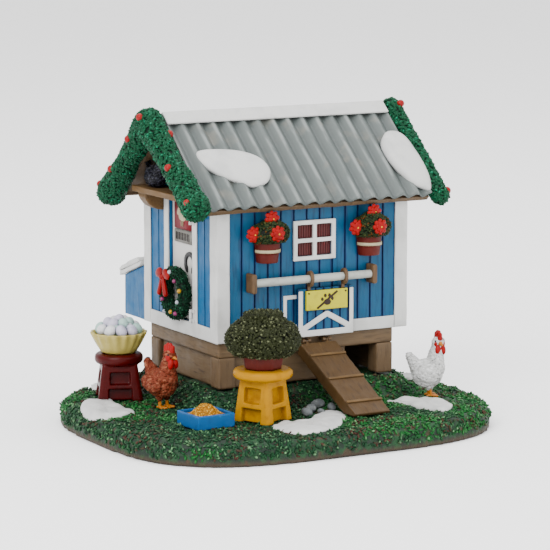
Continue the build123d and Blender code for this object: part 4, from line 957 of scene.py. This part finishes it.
# Dark, base and light: painted shade at the roots, the green, and a painted highlight on the tips.
FOREST = leaf_paint("garland_paint", "#06241A", "#0E5A40", "#52A280", None, 0.5)


def garland(node, count):
    """A rope of greenery: the CAD shape as a lumpy core, with leaf grains over it."""
    skin = remeshed(cad_mesh(node), 0.45, 3, node + "_core")
    uneven(skin, 0.16, 2.0, 0.45, -0.35)
    names, ride = (node + "_core", node + "_leaves"), ("house", "paint_evergreen")
    grown(names, skin, 0.12, count, (1.9, 0.85, 0.8), 42, ride, FOREST, node, 0.95, 0.1)


garland("garland_left", 5400)
garland("garland_right", 3600)

BERRY = 1.25
BERRIES = (
    (-49.3, -1.2, 98.2), (-42.3, -8.0, 93.2), (-49.3, 7.3, 90.5), (-48.7, -19.7, 84.0),
    (-49.2, 20.2, 79.6), (-48.4, 30.0, 73.6), (-48.9, -33.0, 74.6), (45.6, -3.4, 98.4),
    (46.6, -30.9, 72.4), (46.9, 9.0, 88.4), (46.8, 20.0, 78.2),
)
berries = merged("berries", [ellipsoid(spot, (BERRY, BERRY, BERRY)) for spot in BERRIES])
place("berries", berries, "house", "paint_red", BERRY_RED, ("garland_berries",))


def bush(node, body, slot, count, size, colours, speck=0.0):
    """A clipped bush: a core in painted shade with leaf grains over it."""
    skin = remeshed(cad_mesh(node), 0.5, 2, node + "_core")
    uneven(skin, 0.2, 6.0, 0.35, -0.45)
    paint = leaf_paint(node + "_paint", *colours)
    names = (node + "_core", node + "_leaves")
    grown(names, skin, 0.1, count, size, 60, (body, slot), paint, node, 1.0, 0.2, speck=speck)


# In each bush's colours the first is painted shade at the roots and the third a painted highlight on the
# tips.
bush("shrub", "house", "paint_shrub", 4200, (1.9, 0.9, 0.6), ("#0E120A", "#363B24", "#93977A"))
BUSH_COLOURS = ("#10160E", "#33422A", "#7E7E54", "#7A4A2E")
bush("wall_bushes", "house", "paint_leaf", 2600, (1.3, 0.6, 0.5), BUSH_COLOURS, speck=0.08)
bush("wreath", "gable_door", "paint_leaf", 1700, (1.7, 0.5, 0.45), ("#04180F", "#0E3F2B", "#5E9E7C"))

# ------------------------------------------------------------------ flowers, tubs and wreath

FLOWER_RED = satin("flower_paint", "#B4060A", "#5A0204", "#D0241C", 0.4, 0.03, 0.8, 0.12)
FLOWER_YELLOW = satin("flower_eye_paint", "#F0C020", "#A87808", "#FFE27A", 0.4, 0.02, 0.4)
# The two wall tubs, as (x, z), and the flower heads of each, as (across, up, out from the wall).
BASKETS = ((-17.3, 53.0), (20.0, 52.8))
FLOWERS = ((-6.5, 9.6, 4.5), (0.0, 14.2, 4.6), (0.2, 9.8, 8.0))


def blossom(x, y, z, size, spin):
    """Meshes of one full flower head that faces out of the long wall: its petals and its eye."""
    petals = []
    radii = (size * 0.82, size * 0.45, size * 0.72)
    for number, reach, forward in ((8, 1.0, 0.0), (6, 0.55, 0.45)):
        for i in range(number):
            turn = 2 * math.pi * i / number + spin + reach
            centre = (
                x + size * 1.5 * reach * math.cos(turn),
                y - size * forward + 0.15 * (i % 2),
                z + size * 1.5 * reach * math.sin(turn),
            )
            lean = (14 * math.sin(turn), -math.degrees(turn), 20 * math.cos(turn))
            petals.append(ellipsoid(centre, radii, lean))
    return petals, ellipsoid((x, y - size * 0.55, z), (size * 0.34,) * 3)


def flowers():
    petals, eyes = [], []
    for x, z in BASKETS:
        for i, (dx, dz, out) in enumerate(FLOWERS):
            made, eye = blossom(x + dx, -FACE_Y - out, z + dz, 1.15, 0.7 * i)
            petals += made
            eyes.append(eye)
    place("petals", merged("petals", petals), "house", "paint_red", FLOWER_RED, ("wall_flowers",))
    place("flower_eyes", merged("flower_eyes", eyes), "house", "paint_red", FLOWER_YELLOW)


flowers()

MAROON = satin("maroon_paint", "#6C2A24", "#381410", "#985448", 0.5, specular=0.15)
CREAM = satin("hoop_paint", "#C9BFA4", "#8A7F66", "#E6DEC8", 0.5, 0.03)
hand_made("wall_tubs", "house", "paint_tub", MAROON, 0.2, 1, 0.03)


HOOP_STEPS = 28
HOOP_BOTTOM, HOOP_TOP = 3.3, 4.3


def hoops():
    """Pale half hoops round the two wall tubs."""
    rings = []
    for x, z in BASKETS:
        low, high = z + HOOP_BOTTOM, z + HOOP_TOP
        verts = []
        for k in range(HOOP_STEPS + 1):
            turn = math.pi + math.pi * k / HOOP_STEPS
            for radius, height in ((3.9, low), (4.3, low), (4.32, high), (3.9, high)):
                px, py = x + radius * math.cos(turn), -FACE_Y - 1.0 + radius * math.sin(turn)
                verts.append(at(px, py, height))
        rings.append(from_arrays("hoop", verts, tube_faces(HOOP_STEPS + 1, 4)))
    place("tub_hoops", merged("tub_hoops", rings), "house", "paint_tub", CREAM)


hoops()

DOOR_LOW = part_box("gable_door_panel")[0]
DOOR_X = (DOOR_LOW.x - HOUSE.x) / MM
DOOR_Y = middle("gable_door_panel").y
WREATH_X, WREATH_Z = -36.6, 40.9
WREATH_RING = 6.4
BALL_GOLD = satin("gold_paint", "#CFA63A", "#7A5A16", "#FFE9A0", 0.3, 0.01)
BALL_SILVER = satin("silver_paint", "#C4C8D0", "#7E828C", "#F4F6FA", 0.3, 0.01)
BALL_MAUVE = satin("mauve_paint", "#A8487A", "#5E1E40", "#D890B4", 0.3, 0.01)
BOW_RED = satin("bow_paint", "#AA0A14", "#540408", "#D03038", 0.35, 0.03, 0.8, 0.15)


def wreath_trim():
    """Round baubles in three colours and a bow with loops and tails."""
    front = WREATH_X - 2.2
    groups = {"gold": ([], BALL_GOLD), "silver": ([], BALL_SILVER), "mauve": ([], BALL_MAUVE)}
    names = list(groups)
    for i, degrees in enumerate((20, 92, 128, 165, 200, 235, 262, 300, 335)):
        turn = math.radians(degrees)
        reach = WREATH_RING + (0.7 if i % 2 else -0.6)
        spot = (front, DOOR_Y + reach * math.cos(turn), WREATH_Z + reach * math.sin(turn))
        groups[names[i % 3]][0].append(ellipsoid(spot, (0.72,) * 3))
    for key, (parts, paint) in groups.items():
        piece = place("baubles_" + key, merged(key, parts), "gable_door", "paint_gold", paint)
        if key == "gold":
            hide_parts("wreath_ornaments")
    y, z = DOOR_Y + 4.2, WREATH_Z + 5.0
    x = front - 0.3
    parts = [ellipsoid((x - 0.5, y, z), (0.8, 0.9, 0.9))]
    for side in (-1, 1):
        parts.append(ellipsoid((x, y + side * 2.4, z + 1.1), (0.8, 2.4, 1.6), (side * -24, 0, 0)))
        parts.append(limb((x, y + side * 0.5, z - 0.6), (x - 0.1, y + side * 2.2, z - 5.4), 0.65, 0.9))
    bow = blended("bow", parts, 0.18, 2)
    place("bow", bow, "gable_door", "paint_gold", BOW_RED)


wreath_trim()


def slab(x0, x1, y0, y1, z0, z1, edge=0.15):
    """A block with softened edges between two corners in millimetres."""
    shape = bmesh.new()
    bmesh.ops.create_cube(shape, size=1.0)
    grow = Matrix.Diagonal(((x1 - x0) * MM, (y1 - y0) * MM, (z1 - z0) * MM, 1))
    shape.transform(Matrix.Translation(at((x0 + x1) / 2, (y0 + y1) / 2, (z0 + z1) / 2)) @ grow)
    bmesh.ops.bevel(shape, geom=shape.edges, offset=edge * MM, segments=2, affect="EDGES")
    return finished("slab", shape)


PLAQUE_RED = satin("plaque_paint", "#9A2C36", "#5E141E", "#B85A5E", 0.5)
PLAQUE_GREY = satin("plaque_strip_paint", "#A2A09A", "#6E6C66", "#C6C4BE", 0.5)
INK = satin("ink_paint", "#2A1C1A", "#120A0A", "#4A3A34", 0.5, 0.01)


PLAQUE_REACH = 5.9
STRIP_BOTTOM, STRIP_TOP = 57.0, 61.2
BOARD_BOTTOM, BOARD_TOP = 61.4, 71.0


def plaque():
    """A red picture board with a hen on it, and a grey strip with tally strokes."""
    y0, y1 = DOOR_Y - PLAQUE_REACH, DOOR_Y + PLAQUE_REACH
    board = slab(DOOR_X - 0.6, DOOR_X, y0, y1, BOARD_BOTTOM, BOARD_TOP)
    place("plaque_board", board, "gable_door", "paint_plaque", PLAQUE_RED, ("door_plaque",))
    strip = slab(DOOR_X - 0.6, DOOR_X, y0, y1, STRIP_BOTTOM, STRIP_TOP)
    place("plaque_strip", strip, "gable_door", "paint_plaque", PLAQUE_GREY)
    marks = []
    for i in range(9):
        y = DOOR_Y + 4.4 - 1.1 * i
        low, high = STRIP_BOTTOM + 0.9, STRIP_TOP - 0.9
        marks.append(slab(DOOR_X - 0.8, DOOR_X - 0.5, y - 0.2, y + 0.2, low, high, 0.05))
    place("tally_strokes", merged("tally", marks), "gable_door", "paint_plaque", INK)
    x = DOOR_X - 0.6
    parts = [
        ellipsoid((x, DOOR_Y + 0.2, 65.6), (0.35, 2.6, 1.7)),
        ellipsoid((x, DOOR_Y - 2.1, 67.3), (0.35, 0.9, 1.4), (-25, 0, 0)),
        ellipsoid((x, DOOR_Y + 2.6, 67.2), (0.35, 0.9, 1.7), (30, 0, 0)),
    ]
    for y in (DOOR_Y - 0.6, DOOR_Y + 0.5):
        parts.append(slab(x - 0.3, x, y, y + 0.3, 62.4, 64.2, 0.05))
    place("plaque_hen", merged("plaque_hen", parts), "gable_door", "paint_plaque", CREAM)


plaque()
IRON = satin("iron_paint", "#1C1B1E", "#0B0B0D", "#3A3A40", 0.4)
hand_made("horseshoe", "gable_door", "paint_black", IRON, 0.15, 1, 0.0)
repaint("gable_door_panel", white_trim("door_white_paint", "#DEDDD9"))
repaint("gable_door_leaves", WHITE)


def fixed_hinge_paint():
    """White hinge leaves; those of the ramp, low down, are brown like its timber."""
    ramp_leaves_top = 31.0
    p = Paint("fixed_hinge_paint", 0.5, 0.35)
    p.coat("#DCDCDA")
    p.coat("#6A5239", p.ramp(p.axis("Z"), ramp_leaves_top, ramp_leaves_top - 1.0))
    # Painted shade in corners.
    p.coat("#6E6A66", p.ramp(p.hollow_shade(0.5), 0.4, 0.9), 0.5)
    p.relief(p.noise(1.5, 3.0), 0.03)
    return p.done()


repaint("fixed_hinge_leaves", fixed_hinge_paint())
STEEL = satin("pin_paint", "#8E8E8C", "#5E5E5C", "#B5B5B2", 0.35, 0.005)
STEEL.node_tree.nodes["Principled BSDF"].inputs["Metallic"].default_value = 0.9
repaint("hinge_pins", STEEL)

# ------------------------------------------------------------------ sliding door, ramp and nest box

TAN_PALE = wood_paint("batten_paint", "#7E6446", "#503B27", "#B0926C", (0.15, 1.0, 1.0))
RAMP_WOOD = wood_paint("ramp_paint", "#644C31", "#3E2C1B", "#866B4B", (1.0, 0.2, 0.2))
hand_made("ramp_board", "ramp", "paint_ramp", RAMP_WOOD, 0.28, 2, 0.08)
hand_made("ramp_battens", "ramp", "paint_tan", TAN_PALE, 0.15, 2, 0.06)
hand_made("roost_shelf", "house", "paint_tan", TAN, 0.3, 2, 0.08)
RAIL_WHITE = satin("rail_paint", "#C6C8C2", "#8E928E", "#DADCD8", 0.45)
repaint("door_rail", RAIL_WHITE)
BLOCK_WOOD = wood_paint("block_paint", "#765E48", "#483524", "#98795A", (1.0, 1.0, 0.2))
hand_made("rail_blocks", "house", "paint_block", BLOCK_WOOD, 0.25, 3, 0.08)
hand_made("door_hangers", "pop_door", "paint_block", BLOCK_WOOD, 0.14, 1, 0.0)
# The sliding door on the long wall takes the same dark copy of the blue: painted shade.
repaint("pop_door_panel", blue_boards("pop_door_paint", "X", 3.0, HOUSE_X, dark=True))
hand_made("pop_door_trim", "pop_door", "paint_white", WHITE, 0.13, 2, 0.05)
SIGN_YELLOW = satin("sign_paint", "#D9D25C", "#A99C3A", "#E8E48A", 0.5)
hand_made("warning_sign", "pop_door", "paint_sign", SIGN_YELLOW, 0.15, 1, 0.03)
UMBER = satin("umber_paint", "#3C2618", "#2A1A10", "#6A4A34", 0.6, 0.01)
repaint("sign_marks", UMBER)
NEST_BLUE = blue_boards("nest_paint", "X", 4.7, HOUSE_X, plain=True)
hand_made("nest_box", "house", "paint_blue", NEST_BLUE, 0.35, 2, 0.08)
hand_made("nest_lid", "nest_lid", "paint_tan", SNOW, 0.25, 1, 0.05)
hand_made("lid_snow", "nest_lid", "paint_snow", SNOW, 0.35, 8, 0.3)

# ------------------------------------------------------------------ stools, bowl, pot and tray

RED_SATIN = satin("red_stool_paint", "#5A0308", "#260204", "#7C161C", 0.3, specular=0.12)
hand_made("red_stool", "house", "paint_stool_red", RED_SATIN, 0.26, 2, 0.06)
YELLOW_SATIN = satin("yellow_stool_paint", "#CE9C00", "#8A5600", "#D8A800", 0.3, specular=0.05)
hand_made("yellow_stool", "house", "paint_stool_yellow", YELLOW_SATIN, 0.28, 2, 0.06)
hand_made("shrub_pot", "house", "paint_tub", MAROON, 0.3, 1, 0.05)
TRAY_BLUE = satin("tray_paint", "#2070B0", "#0E3E70", "#5FA4D0", 0.35, specular=0.2)
hand_made("feed_tray", "house", "paint_tray", TRAY_BLUE, 0.25, 2, 0.06)
RED_STOOL = (-52.5, 8.8)
BOWL_BOTTOM, BOWL_TOP = 21.7, 28.6


def bowl_flute(radius, height, turn):
    """Soft vertical flutes and a wavy rim."""
    share = (height - BOWL_BOTTOM) / (BOWL_TOP - BOWL_BOTTOM)
    return radius * (1 + 0.035 * share * math.cos(18 * turn))


def bowl():
    foot, rim = (5.2, BOWL_BOTTOM), (8.85, BOWL_TOP)
    outer = [foot, (5.9, 22.3), (6.9, 24.0), (7.7, 25.5), (8.5, 27.2), (8.9, 28.1), rim]
    inner = [(8.3, 28.5), (7.7, 27.5), (6.6, 25.5), (4.8, 23.2), (0.05, 22.9)]
    mesh = lathe("bowl", outer + inner, RED_STOOL, 144, bowl_flute)
    paint = satin("bowl_paint", "#CDBF84", "#8E7F48", "#E8E0B4", 0.4, 0.03)
    place("bowl", mesh, "house", "paint_bowl", paint, ("egg_bowl",))


bowl()
# Each ring of the heap: its radius, the number of its eggs and their height.
EGG_RINGS = ((5.9, 10, 29.4), (3.3, 6, 31.2), (0.0, 1, 32.1), (3.6, 5, 29.4))
EGG_RADII = (1.75, 1.75, 2.15)
EGG_COLOURS = {"white": "#EFEFF0", "mint": "#C2DCD4", "lilac": "#DAD6E6"}


def egg_heap():
    """Eggs in three pale colours, heaped in rings over the bowl, each with its own lean."""
    groups = {key: [] for key in EGG_COLOURS}
    names = list(groups)
    count = 0
    for ring, number, height in EGG_RINGS:
        for i in range(number):
            turn = 2 * math.pi * i / number + 0.4 + ring
            x, y = RED_STOOL[0] + ring * math.cos(turn), RED_STOOL[1] + ring * math.sin(turn)
            lean = (RNG.uniform(-50, 50), RNG.uniform(-50, 50), RNG.uniform(0, 180))
            key = names[(count * 2 + i // 2) % len(names)]
            groups[key].append(ellipsoid((x, y, height), EGG_RADII, lean))
            count += 1
    for key, parts in groups.items():
        paint = satin("egg_paint_" + key, EGG_COLOURS[key], "#8E96A8", "#FFFFFF", 0.3, 0.02, 0.9)
        piece = place("eggs_" + key, merged(key, parts), "house", "paint_egg", paint)
        if key == "white":
            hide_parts("eggs")


egg_heap()


def grain():
    """A heap of feed with single kernels over it."""
    # Painted shade between the kernels and a painted highlight on their tops, round the grain colour.
    paint = leaf_paint("grain_paint", "#5E3C12", "#C08A34", "#F0CC84", None, 0.6)
    skin = remeshed(cad_mesh("feed_grain"), 0.35, 4, "grain_heap")
    names, ride = ("grain_heap", "kernels"), ("house", "paint_grain")

    def upward(where, normal):
        return normal[:, 2] > 0.2

    grown(names, skin, 0.35, 1500, (0.95, 0.6, 0.5), 30, ride, paint, "feed_grain", keep=upward)


grain()

# ------------------------------------------------------------------ hens

COMB_RED = satin("comb_paint", "#B80A10", "#6A0408", "#D83430", 0.35, 0.03, 0.6, 0.15)
BEAK_GOLD = satin("beak_paint", "#D08A28", "#7A4A10", "#F0BC60", 0.4, 0.02, 0.6)
EYE_BLACK = satin("eye_paint", "#0A0A0A", "#050505", "#303030", 0.2, 0.0)


HEAD_AHEAD = 3.0


def hen(name, node, slot, foot, ahead, look, scale, colours, body_size, height):
    """A standing hen: foot is the middle between its feet, height is that of its head.

    ahead and look are the ways that its body and its head face.
    """
    fx, fy = ahead
    sx, sy = -fy, fx
    lx, ly = look
    yaw = math.degrees(math.atan2(fy, fx))
    gaze = math.degrees(math.atan2(ly, lx))
    wide, tall = body_size

    def spot(front, side, up):
        """A place measured from the feet, along the way it stands."""
        return (
            foot[0] + (fx * front + sx * side) * scale,
            foot[1] + (fy * front + sy * side) * scale,
            foot[2] + up * scale,
        )

    def on_head(front, side, up):
        """A place measured from the middle of the head, along the way it looks."""
        x, y, z = spot(HEAD_AHEAD, 0, height + up)
        return (x + (lx * front - ly * side) * scale, y + (ly * front + lx * side) * scale, z)

    def sized(*lengths):
        return tuple(length * scale for length in lengths)

    parts = [
        ellipsoid(spot(-0.6, 0, 7.6), sized(5.0, wide, tall), (0, 12, yaw)),
        limb(spot(1.8, 0, 9.4), spot(2.8, 0, height - 2.6), *sized(3.3, 1.55)),
        ellipsoid(spot(HEAD_AHEAD, 0, height - 2.2), sized(1.95, 1.6, 1.8), (0, 0, yaw)),
        limb(spot(-3.4, 0, 8.8), spot(-6.6, 0, 13.6), *sized(2.7, 0.9)),
    ]
    for side in (-1, 1):
        parts.append(ellipsoid(spot(-1.2, side * wide * 0.86, 7.8), sized(3.9, 1.1, 2.5), (0, 16, yaw)))
    for side in (-1.5, 1.5):
        parts.append(limb(spot(-0.2, side, 4.8), spot(0.1, side, 3.2), *sized(1.3, 0.75)))
    skin = blended(name + "_body", parts, 0.3, 3)
    paint = leaf_paint(name + "_paint", *colours)
    names, ride = (name + "_body", name + "_plumes"), ("house", slot)
    grown(names, skin, 0.3, 1700, (2.1, 1.1, 0.3), 9, ride, paint, node, flow=(-fx, -fy, -0.25))

    reds = []
    for i in range(4):
        tip = 0.5 + 0.6 * (i in (1, 2))
        root, top = on_head(-1.3 + 0.8 * i, 0, -0.9), on_head(-1.5 + 0.95 * i, 0, tip)
        reds.append(limb(root, top, *sized(0.85, 0.65)))
    for side in (-1, 1):
        reds.append(ellipsoid(on_head(1.5, side * 0.95, -4.5), sized(0.9, 0.95, 1.7), (side * 8, 0, gaze)))
        reds.append(ellipsoid(on_head(0.6, side * 1.4, -2.7), sized(1.1, 0.5, 1.1), (0, 0, gaze)))
    place(name + "_comb", blended(name + "_comb", reds, 0.16, 1), "house", slot, COMB_RED)

    gold = [limb(on_head(1.4, 0, -2.4), on_head(3.1, 0, -2.9), 0.8 * scale, 0.15)]
    for side in (-1.5, 1.5):
        gold.append(limb(spot(0.1, side, 3.6), spot(0.3, side, 0.8), *sized(0.5, 0.5)))
        for toe in (-0.9, 0.0, 0.9):
            gold.append(limb(spot(0.2, side, 0.6), spot(2.2, side + toe, 0.4), *sized(0.5, 0.35)))
        gold.append(limb(spot(0.2, side, 0.6), spot(-0.9, side, 0.4), *sized(0.45, 0.3)))
    place(name + "_legs", merged(name + "_legs", gold), "house", slot, BEAK_GOLD)
    eyes = [ellipsoid(on_head(0.9, side * 1.42, -1.7), sized(0.36, 0.36, 0.36)) for side in (-1, 1)]
    place(name + "_eyes", merged(name + "_eyes", eyes), "house", slot, EYE_BLACK)


# Each hen's colours: painted shade at the feathers' roots, the feathers' own colour and a painted highlight
# on their tips.
RUST = ("#42180F", "#8E4A3A", "#B87C66")
PALE = ("#B6B6B6", "#DEDEDC", "#FFFFFF")
hen(
    "brown", "brown_hen", "paint_hen_brown", foot=(-48.2, -14.0, GROUND),
    ahead=(0.30, -0.954), look=(0.30, -0.954), scale=1.05, colours=RUST, body_size=(4.3, 4.4), height=18.6,
)
hen(
    "white", "white_hen", "paint_feather", foot=(35.6, -38.4, GROUND),
    ahead=(0.95, -0.31), look=(-0.10, -0.995), scale=1.0, colours=PALE, body_size=(4.2, 4.7), height=19.8,
)


def roosting():
    """The black hen that sits on the shelf, across the gable. top is the shelf's upper face."""
    x, y, top = -39.0, 7.5, 74.4
    parts = [
        ellipsoid((x, y + 0.4, top + 3.6), (3.4, 5.4, 3.6), (-8, 0, 0)),
        limb((x - 0.2, y - 2.6, top + 4.6), (x - 0.4, y - 4.4, top + 8.2), 2.5, 1.5),
        ellipsoid((x - 0.4, y - 4.8, top + 8.6), (1.5, 1.8, 1.6)),
        limb((x, y + 3.6, top + 4.0), (x + 0.1, y + 6.4, top + 7.0), 2.0, 0.8),
    ]
    skin = blended("roosting_body", parts, 0.3, 3)
    # Painted shade between the feathers and painted grey highlights on their tips, round the black.
    paint = leaf_paint("black_hen_paint", "#08080A", "#1C1C24", "#5A5A68", None, 0.4)
    names, ride = ("roosting_body", "roosting_plumes"), ("house", "paint_black")
    grown(names, skin, 0.2, 900, (1.8, 0.9, 0.35), 14, ride, paint, "roosting_hen", flow=(0, 1, -0.2))
    reds = [ellipsoid((x - 0.4, y - 5.6 + 1.0 * i, top + 10.1), (0.45, 0.6, 0.8)) for i in range(3)]
    reds.append(ellipsoid((x - 0.4, y - 6.0, top + 7.2), (0.5, 0.5, 0.9)))
    place("roosting_comb", blended("roosting_comb", reds, 0.16, 1), "house", "paint_black", COMB_RED)
    beak = limb((x - 0.4, y - 6.2, top + 8.5), (x - 0.4, y - 7.5, top + 8.2), 0.55, 0.15)
    place("roosting_beak", beak, "house", "paint_black", BEAK_GOLD)


roosting()

# ------------------------------------------------------------------ floor and light


def studio():
    """A pale floor, an even white sky and three large soft lamps."""
    bpy.ops.mesh.primitive_plane_add(size=6.0, location=(0, 0, -0.0001))
    floor = bpy.context.object
    floor.name = "floor"
    p = Paint("floor_paint", 0.9, 0.1)
    p.coat((1.0, 1.0, 1.0, 1.0))
    floor.data.materials.append(p.done())
    world = bpy.data.worlds.new("studio")
    bpy.context.scene.world = world
    world.use_nodes = True
    sky = world.node_tree.nodes["Background"]
    sky.inputs["Color"].default_value = (1, 1, 1, 1)
    sky.inputs["Strength"].default_value = 1.75
    lamps = (
        ("key", (-0.75, -0.55, 0.75), 0.7, 14.5),
        ("fill", (0.6, -0.9, 0.35), 0.8, 4.5),
        ("top", (0.1, 0.1, 1.1), 0.9, 8.5),
    )
    for name, spot, size, power in lamps:
        data = bpy.data.lights.new(name, "AREA")
        data.size = size
        data.energy = power
        lamp = bpy.data.objects.new(name, data)
        lamp.location = spot
        aim = Vector((0, 0, 0.05)) - Vector(spot)
        lamp.rotation_euler = aim.to_track_quat("-Z", "Y").to_euler()
        bpy.context.scene.collection.objects.link(lamp)


studio()
